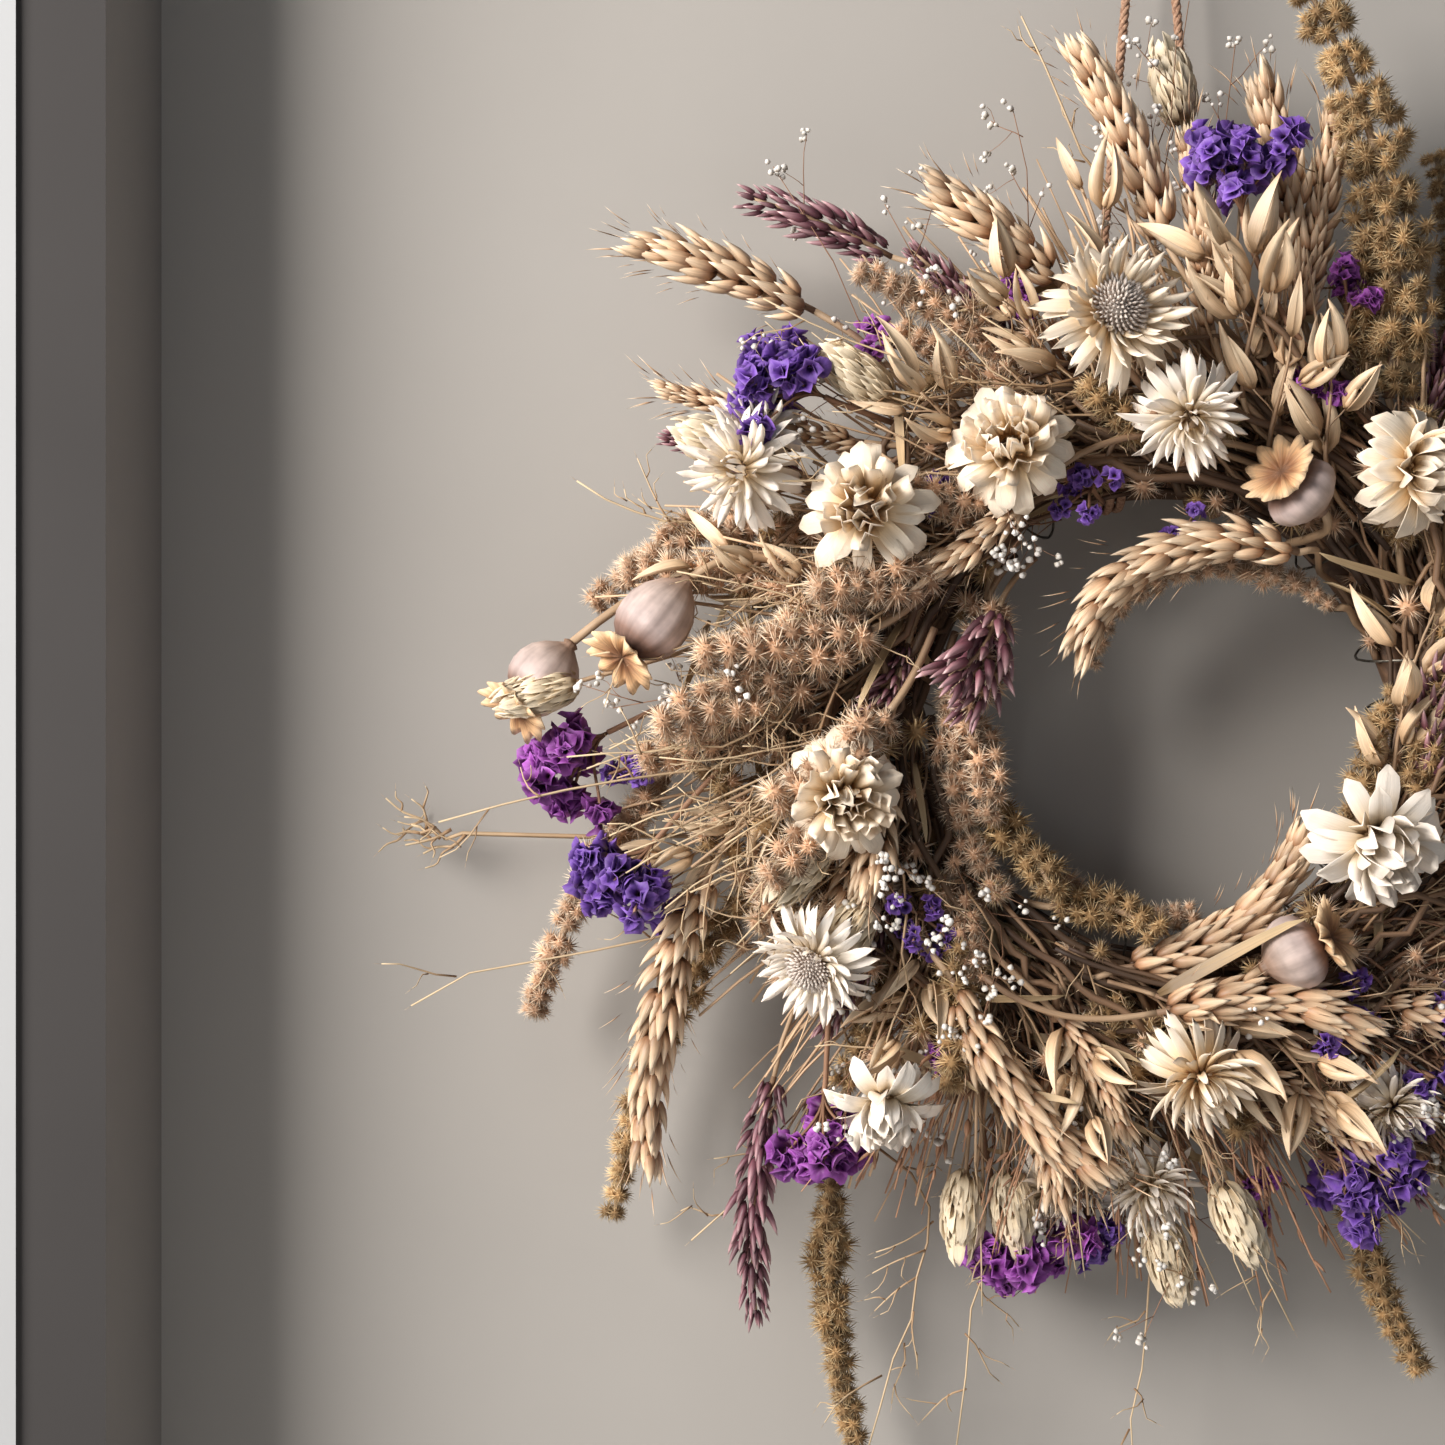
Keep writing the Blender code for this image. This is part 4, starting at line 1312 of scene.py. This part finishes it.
def canary_parts(rng, base, tip):
    """A stem with a fat head of scales laid out by the golden angle."""
    line = swirl_line(base, tip, 24)
    way = (line[-1] - line[-4]).normalized()
    side = way.orthogonal().normalized()
    other = way.cross(side)
    start = line[-1] - way * CANARY_LENGTH * 0.5 * MM
    placed = [stalk(FINE_STRAW, line, 0.8)]
    for k in range(CANARY_SCALES):
        t = (k + 0.5) / CANARY_SCALES
        outward = turned(side, other, math.degrees(k * GOLDEN))
        r = CANARY_WIDTH / 2 * math.sin(math.pi * (0.12 + 0.80 * t)) ** 0.7
        place = start + (way * CANARY_LENGTH * 0.80 * t + outward * r * 0.72) * MM
        scale = rng.choice(TEMPLATES["scale"])
        placed.append((scale, aim(place, leaning(way, outward, 30 - 16 * t), outward,
                                  rng.uniform(0.8, 1.2))))
    return placed


CANARY = [
    ((236, 40, 16), (252, 76, 26)), ((286, 50, 18), (304, 90, 24)),
    ((150, 40, 10), (177, 116, 28)), ((222, 20, 16), (247, 82, 26)),
    ((252, 10, 26), (277, 70, 38)), ((70, 50, 8), (89, 122, 16)), ((254, 30, 20), (270, 84, 24)),
    ((130, 20, 20), (148, 84, 30)), ((196, 4, 24), (212, 34, 42)), ((330, 20, 12), (352, 100, 22)),
    ((176, 10, 24), (200, 38, 44)), ((20, 30, 12), (40, 106, 22)), ((118, 14, 20), (132, 62, 34))]
for base, tip in CANARY:
    spare("canary", [CANARY_SKIN, STRAW_SKIN], canary_parts(random.Random(repr(tip)), base, tip),
          "oat")
print("canary grass", len(CANARY))

# %% [markdown]
# Fine twigs zigzag and fork at each bend. Gypsophila forks the same way, but its threads are
# thinner and each ends in a tiny white floret. One forking function makes both.

# %% Forks and florets
def tiny_floret(seed):
    """A lumpy ball of papery petals, too small to show them one by one."""
    rng = random.Random(seed)
    bm = bmesh.new()
    layer = bm.loops.layers.uv.new(UV)
    bmesh.ops.create_icosphere(bm, subdivisions=1, radius=1.0 * MM)
    for vert in bm.verts:
        vert.co *= rng.uniform(0.75, 1.35)
    for face in bm.faces:
        for loop in face.loops:
            loop[layer].uv = (rng.random(), 0.5 + loop.vert.co.z / (3 * MM))
    return bm


keep_tones("white_floret", tiny_floret)
FLORET_SKIN = dry_material(
    "gypsophila", [(0.1, (150, 140, 120)), (0.5, (222, 216, 208)), (1, (244, 240, 236))],
    tone_spread=0.08, roughness=0.8, bump=0.0)
TWIG_SKIN = dry_material("twig_bark", [(0, (176, 138, 102)), (1, (240, 214, 174))],
                         streak=(5, 0.3), roughness=0.6)


def flat_side(rng, along):
    """A cross direction that mostly stays in the plane of the wreath."""
    side = cross_way(rng, along)
    return Vector((side.x, 0.45 * side.y, side.z)).normalized()


def forks(rng, line, radius, depth, zigzag, reach, tips):
    """Tubes along a zigzag line and its side branches; collects the tips."""
    points = []
    for i, point in enumerate(line):
        along = (line[min(i + 1, len(line) - 1)] - line[max(i - 1, 0)]).normalized()
        side = flat_side(rng, along)
        points.append(point + side * (zigzag if i else 0))
    template = FINE_STRAW if radius > 0.45 * MM else THREAD
    dense = [a + (b - a) * s for a, b in zip(points, points[1:]) for s in (0, 0.5)]
    dense.append(points[-1])
    placed = [(follow(template, dense, np.linspace(1, 0.55, len(dense)) * radius), None)]
    tips.append((points[-1], points[-1] - points[-2]))
    for i in range(1, len(points) - 1):
        if depth == 0 or rng.random() < 0.25:
            continue
        along = (points[i + 1] - points[i]).normalized()
        side = flat_side(rng, along)
        way = leaning(along, side, rng.uniform(28, 58))
        far = reach * rng.uniform(0.5, 1.2)
        branch = [points[i] + way * far * s for s in (0, 0.35, 0.7, 1)]
        placed += forks(rng, branch, radius * 0.7, depth - 1, zigzag * 0.8, reach * 0.5, tips)
    return placed


def twig_parts(rng, line, radius, reach):
    """A forked twig with a small bud at each tip; radius and reach are in mm."""
    tips = []
    placed = forks(rng, line, radius * MM, 2, 1.9 * MM, reach * MM, tips)
    for place, way in tips:
        placed.append((rng.choice(TEMPLATES["awn"]), aim(place, way, FRONT, 0.35)))
    return placed


def gypsophila_parts(rng, line, reach):
    """Forked threads with a few tiny florets round each tip."""
    tips = []
    placed = forks(rng, line, 0.34 * MM, 2, 0.8 * MM, reach * MM, tips)
    for place, way in tips:
        for _ in range(rng.randint(2, 6)):
            off = Vector([rng.uniform(-2.4, 2.4) * MM for _ in range(3)])
            floret = rng.choice(TEMPLATES["white_floret"])
            placed.append((floret, aim(place + off, way, FRONT, rng.uniform(0.7, 1.25))))
    return placed


print("faces of a floret", len(TEMPLATES["white_floret"][0].polygons))

# %% [markdown]
# The twigs reach out furthest, and thin ones also fill the front and the lower side. The
# gypsophila is set in small sprays between the heads.

# %% Twigs and gypsophila
for node in nodes_of("twig"):
    stem, head, _ = LINES[node]
    gather(node + "_forks", twig_parts(random.Random(node), stem[::3] + head[4::4], 0.95, 22),
           [TWIG_SKIN, TWIG_SKIN], "twig", [node])
TWIGS = [
    ((168, 30, 30), (187, 150, 40)), ((228, 30, 10), (254, 160, 16)),
    ((250, 20, 26), (281, 112, 30)), ((192, 50, 16), (200, 176, 20)),
    ((112, 10, 44), (148, 60, 48)), ((130, 4, 40), (160, 44, 48)), ((150, 60, 16), (158, 120, 24)),
    ((80, 60, 10), (101, 150, 20)), ((150, 10, 44), (176, 66, 50)),
    ((290, 30, 14), (312, 150, 16)), ((200, 10, 40), (232, 80, 40)),
    ((236, 80, 10), (248, 172, 14)), ((10, 40, 14), (28, 146, 16)),
    ((340, 40, 14), (356, 140, 16)), ((180, 30, 40), (200, 84, 48)), ((60, 60, 10), (76, 150, 16)),
    ((260, 60, 10), (268, 158, 16)), ((216, 50, 10), (228, 142, 16))]
for base, tip in TWIGS:
    spare("twig", [TWIG_SKIN, TWIG_SKIN],
          twig_parts(random.Random(repr(tip)), swirl_line(base, tip, 11), 0.6, 22), "twig")
LOW_TWIGS = 46
FRONT_TWIGS = 16
rng = random.Random(21)
for _ in range(LOW_TWIGS):
    angle, reach, lift = rng.uniform(60, 330), rng.uniform(-10, 40), rng.uniform(22, 38)
    tip = (angle + rng.uniform(12, 34), reach + rng.uniform(30, 80), lift + rng.uniform(0, 6))
    spare("twig", [TWIG_SKIN, TWIG_SKIN],
          twig_parts(rng, swirl_line((angle, reach, lift), tip, 10), 0.5, 18), "twig")
for _ in range(FRONT_TWIGS):
    angle, reach = rng.uniform(150, 186), rng.uniform(10, 40)
    tip = (angle + rng.uniform(10, 30), reach + rng.uniform(44, 80), rng.uniform(42, 50))
    spare("twig", [TWIG_SKIN, TWIG_SKIN],
          twig_parts(rng, swirl_line((angle, reach, 42), tip, 10), 0.55, 20), "twig")
GYPSOPHILA = [
    ((212, -6, 34), (224, 8, 48)), ((226, 20, 24), (240, 64, 32)), ((246, 30, 20), (262, 80, 26)),
    ((286, 20, 24), (310, 66, 34)), ((86, 50, 10), (88, 150, 20)), ((78, 50, 10), (84, 138, 22)),
    ((118, 30, 10), (125, 135, 24)), ((80, 30, 10), (89, 138, 24)), ((118, -14, 30), (129, 4, 48)),
    ((268, 4, 30), (298, 76, 38)), ((196, 6, 30), (209, 30, 44)), ((218, 20, 30), (227, 72, 40)),
    ((110, 50, 14), (119, 104, 30)), ((322, 4, 30), (347, 20, 44)), ((290, 40, 20), (306, 84, 34)),
    ((128, 50, 20), (137, 92, 34)), ((262, 40, 20), (272, 96, 30)), ((28, 40, 20), (44, 108, 26)),
    ((168, 40, 24), (178, 92, 38)), ((0, 50, 16), (12, 110, 22)), ((222, -6, 30), (236, 22, 48)),
    ((100, 60, 10), (104, 120, 26))]
for base, tip in GYPSOPHILA:
    spare("gypsophila", [FLORET_SKIN, BROWN_STEM],
          gypsophila_parts(random.Random(repr(tip)), swirl_line(base, tip, 9), 24), "twig")
print("twigs and gypsophila", len(nodes_of("twig")) + len(TWIGS) + LOW_TWIGS + FRONT_TWIGS,
      len(GYPSOPHILA))

# %% [markdown]
# Between the heads the wreath is packed with bare stems and dried leaves. They run along the
# hoop first and then fan out with the swirl. The stems that lie along the hoop are painted
# dark, as painted shade for the depth of the bundle where the light is lost.

# %% Packed stems and leaves
keep_tones("leaf", lambda tone: blade(
    3.8 * MM, 48 * MM, outline(0.35, 1.0, 0.35, 0.98, 0.03), 1.1, 0.5 - 0.3 * tone, rows=9,
    twist=0.7 * (tone - 2)))
LEAF_SKIN = dry_material(
    "dry_leaf", [(0, (128, 104, 74)), (0.5, (178, 150, 112)), (1, (206, 180, 140))],
    streak=(14, 0.3), tone_spread=0.2, roughness=0.55)
# Painted shade: the stems deep in the bundle along the hoop are coloured dark for the shade there.
PAINTED_SHADE_STEM = dry_material("inner_stem", [(0, (66, 46, 34)), (1, (122, 94, 70))], streak=(9, 0.4),
                         tone_spread=0.35)
INNER_STEMS = 300
FINE_STEMS = 460
BROWN_STEMS = 230
LEAVES = 90
STEM_POINTS = 10
rng = random.Random(5)


def packed_stem(line, thickest, thinnest, factor):
    """A tapering stem of a random tone; thicknesses are radii in mm."""
    return stalk(FINE_STRAW, line, thickest * factor, thinnest * factor, rng.randrange(TONES))


packed = []
for _ in range(INNER_STEMS):
    angle, sweep = rng.uniform(0, 360), rng.uniform(28, 62)
    reach, lift = rng.uniform(-16, 34), rng.uniform(-6, 32)
    line = [on_hoop(angle + sweep * t, reach + 34 * t ** 3 * rng.random(), lift + 6 * t)
            for t in np.linspace(0, 1, STEM_POINTS)]
    radii = [rng.uniform(0.7, 1.5) * MM] * STEM_POINTS
    packed.append((follow(STRAW, line, radii, rng.randrange(TONES)), None))
spare("inner_stems", [PAINTED_SHADE_STEM, PAINTED_SHADE_STEM], packed, "twig")

packed = []
for _ in range(FINE_STEMS):
    angle, lift = rng.uniform(0, 360), rng.uniform(2, 34)
    far = rng.uniform(34, 104) * (1 - 0.25 * max(0, lift - 20) / 14)
    line = swirl_line((angle, rng.uniform(-12, 24), lift * 0.8),
                      (angle + rng.uniform(14, 38), far, lift + rng.uniform(-6, 6)),
                      STEM_POINTS)
    packed.append(packed_stem(line, 1.0, 0.5, rng.uniform(0.5, 1.1)))
spare("stems", [STRAW_SKIN, STRAW_SKIN], packed, "twig")

packed = []
for _ in range(BROWN_STEMS):
    angle, lift = rng.uniform(214, 340), rng.uniform(8, 36)
    end = (angle + rng.uniform(8, 26), rng.uniform(54, 106), lift + rng.uniform(-8, 8))
    line = swirl_line((angle, rng.uniform(-6, 30), lift * 0.8), end, STEM_POINTS)
    packed.append(packed_stem(line, 0.9, 0.4, rng.uniform(0.5, 1.0)))
    along = (line[-1] - line[-3]).normalized()
    for share in (0.5, 0.66, 0.82, 0.97):
        outward = cross_way(rng, along)
        husk = rng.choice(TEMPLATES["small_husk"])
        packed.append((husk, aim(line[int(share * (STEM_POINTS - 1))],
                                 leaning(along, outward, rng.uniform(15, 50)), outward,
                                 rng.uniform(0.4, 0.9))))
spare("brown_stems", [STRAW_SKIN, BROWN_STEM], packed, "statice")

packed = []
for _ in range(LEAVES):
    angle, reach, lift = rng.uniform(0, 360), rng.uniform(-8, 66), rng.uniform(4, 36)
    turn = math.radians(angle + rng.uniform(20, 70))
    way = Vector((-math.sin(turn), rng.uniform(-0.35, 0.1), math.cos(turn)))
    out = (on_hoop(angle, 10, 0) - HOOP_CENTRE).normalized()
    way += out * rng.uniform(0.1, 0.9)
    leaf = rng.choice(TEMPLATES["leaf"])
    packed.append((leaf, aim(on_hoop(angle, reach, lift), way,
                             FRONT + out * rng.uniform(-0.6, 0.6), rng.uniform(0.5, 1.15))))
spare("leaves", [LEAF_SKIN, LEAF_SKIN], packed, "oat")
print("kinds of filling so far", len(SPARE))

# %% [markdown]
# Loose burrs of amaranth close the gaps between the heads. Then all the plants that have no
# solid of their own become one piece of filling for each kind.

# %% Burrs and the filling
BURRS = 300
LEFT_BURRS = 90
packed = []
for _ in range(BURRS):
    place = on_hoop(rng.uniform(0, 360), rng.uniform(-16, 56), rng.uniform(4, 38))
    burr = rng.choice(TEMPLATES["loose_tuft"])
    way = Vector((rng.uniform(-1, 1), -1, rng.uniform(-1, 1)))
    packed.append((burr, aim(place, way, FRONT, rng.uniform(0.6, 1.15))))
for _ in range(LEFT_BURRS):
    place = on_hoop(rng.uniform(150, 214), rng.uniform(40, 68), rng.uniform(10, 32))
    burr = rng.choice(TEMPLATES["loose_tuft"])
    outward = Vector((rng.uniform(-1, 1), 0, rng.uniform(-1, 1)))
    packed.append((burr, aim(place, FRONT, outward, rng.uniform(0.6, 1.1))))
spare("burrs", [AMARANTH_BROWN, STRAW_SKIN], packed[::2], "amaranth")
spare("pale_burrs", [AMARANTH_TAN, STRAW_SKIN], packed[1::2], "amaranth")

for kind, (skins, placed, slot_name) in SPARE.items():
    piece = gather("filling_" + kind, placed, skins, slot_name)
    print(piece.name, len(piece.data.polygons))

# %% [markdown]
# The rods, the wire and the hitches have their true shapes in the frame already. Each gets a
# rounder surface, and a bark, metal or fibre material with its own relief.

# %% Rods, wire and hitches
def grain_material(name, dark, light, scale, roughness, metal=0.0, bump=0.4):
    """A material from fine twisted noise: bark, metal or plant fibre."""
    material, tree, shader = new_material(name)
    shader.inputs["Metallic"].default_value = metal
    noise = add_node(tree, "TexNoise", Scale=scale, Detail=6, Distortion=0.6,
                     Vector=add_node(tree, "TexCoord").outputs["Object"]).outputs["Fac"]
    tree.links.new(colour_ramp(tree, noise, [(0.3, dark), (0.7, light)]),
                   shader.inputs["Base Color"])
    tree.links.new(maths(tree, "MULTIPLY_ADD", noise, 0.3, roughness - 0.15),
                   shader.inputs["Roughness"])
    relief(tree, shader, noise, bump, 0.4 * MM)
    return material


def rounded_copy(node, material, slot_name, body="wreath"):
    """A smooth-shaded, subdivided copy of a solid, in its place."""
    bm = bmesh.new()
    bm.from_mesh(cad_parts[node].data)
    bmesh.ops.remove_doubles(bm, verts=bm.verts, dist=0.005 * MM)
    for face in bm.faces:
        face.smooth = True
    mesh = bpy.data.meshes.new(node + "_surface")
    bm.to_mesh(mesh)
    bm.free()
    mesh.materials.append(material)
    piece = bpy.data.objects.new(node + "_surface", mesh)
    rounder = piece.modifiers.new("rounder", "SUBSURF")
    rounder.levels = rounder.render_levels = 1
    finish_piece(piece, body, slot_name, [node])
    return piece


BARK = grain_material("willow_bark", (58, 38, 26), (112, 82, 58), 260, 0.7)
STEEL = grain_material("wire_steel", (70, 66, 60), (120, 114, 104), 400, 0.4, metal=0.9)
FIBRE = grain_material("twine_fibre", (128, 92, 72), (196, 158, 130), 900, 0.85, bump=0.7)
for node in rod_names:
    rounded_copy(node, BARK, "willow")
rounded_copy("binding_wire", STEEL, "wire")
for node in ("twine_hitch_left", "twine_hitch_right"):
    rounded_copy(node, FIBRE, "twine")
print("rods", len(rod_names))

# %% [markdown]
# The hanging loop is three-ply twine. Its middle line goes up from one hitch, over the hook
# and down to the other. Three strands wind round that line and short fibres stand out of it.

# %% Twine loop
ROUTE_HALF = [(-20.0, 7.6, -228.5), (-18.4, 7.2, -205), (-15.8, 6.4, -172), (-12.9, 5.4, -138),
              (-10.0, 4.3, -104), (-7.2, 3.2, -72), (-4.6, 2.0, -46), (-2.6, 0.8, -31),
              (-2.2, 0, -24), (-3.6, 0, -17.5), (-7.0, 0, -10.5), (-7.2, 0, -3.2),
              (-3.9, 0, 0.9), (0, 0, 1.9)]
route = [Vector(p) * MM for p in ROUTE_HALF]
route += [Vector((-p.x, p.y, p.z)) for p in reversed(route[:-1])]
TWINE_POINTS = 430
TWINE_LINE = smooth_line(route, TWINE_POINTS)
TWINE_LENGTH = sum((b - a).length for a, b in zip(TWINE_LINE, TWINE_LINE[1:]))
PLY = straw(7, 560, "ply")
spots, tangents, sides, ups = line_frames(TWINE_LINE)
run = np.linspace(0, TWINE_LENGTH, len(TWINE_LINE))
PLIES = 3
PLY_RADIUS = 0.90             # mm
PLY_OFFSET = 0.80             # mm from the middle of the twine
LAY_LENGTH = 9 * MM           # of twine for one turn of a ply
HAIRS = 900
placed = []
for k in range(PLIES):
    phase = run / LAY_LENGTH * math.tau + k * math.tau / PLIES
    ring = sides * np.cos(phase)[:, None] + ups * np.sin(phase)[:, None]
    placed.append(stalk(PLY, spots + ring * PLY_OFFSET * MM, PLY_RADIUS))
rng = random.Random(11)
for _ in range(HAIRS):
    i = rng.randrange(4, len(run) - 4)
    outward = turned(Vector(sides[i]), Vector(ups[i]), rng.uniform(0, 360))
    along = Vector(tangents[i]) * rng.choice((-1, 1))
    start = Vector(spots[i]) + outward * 1.2 * MM
    end = start + leaning(along, outward, rng.uniform(15, 60)) * rng.uniform(1.5, 3.0) * MM
    line = curved_line(start, along, end, leaning(along, outward, 40), count=5)
    placed.append(stalk(THREAD, line, 0.07, 0.03))
twine = gather("hanging_twine_strands", placed, [FIBRE, FIBRE], "twine", ["hanging_twine"],
               body="hanging_loop")
knot = rounded_copy("twine_knot", FIBRE, "twine", body="hanging_loop")
tuple(TWINE_LINE[0])
[tuple(p) for p in TWINE_LINE]
print("twine", round(TWINE_LENGTH, 4), "m")

# %% [markdown]
# The size of the finished wreath is written down next to the size of the frame.

# %% Sizes
NEW_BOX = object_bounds()
for side, frame_corner, new_corner in zip(("low", "high"), CAD_BOX, NEW_BOX):
    print(side, "grew by", [round((b - a) / MM, 1) for a, b in zip(frame_corner, new_corner)])
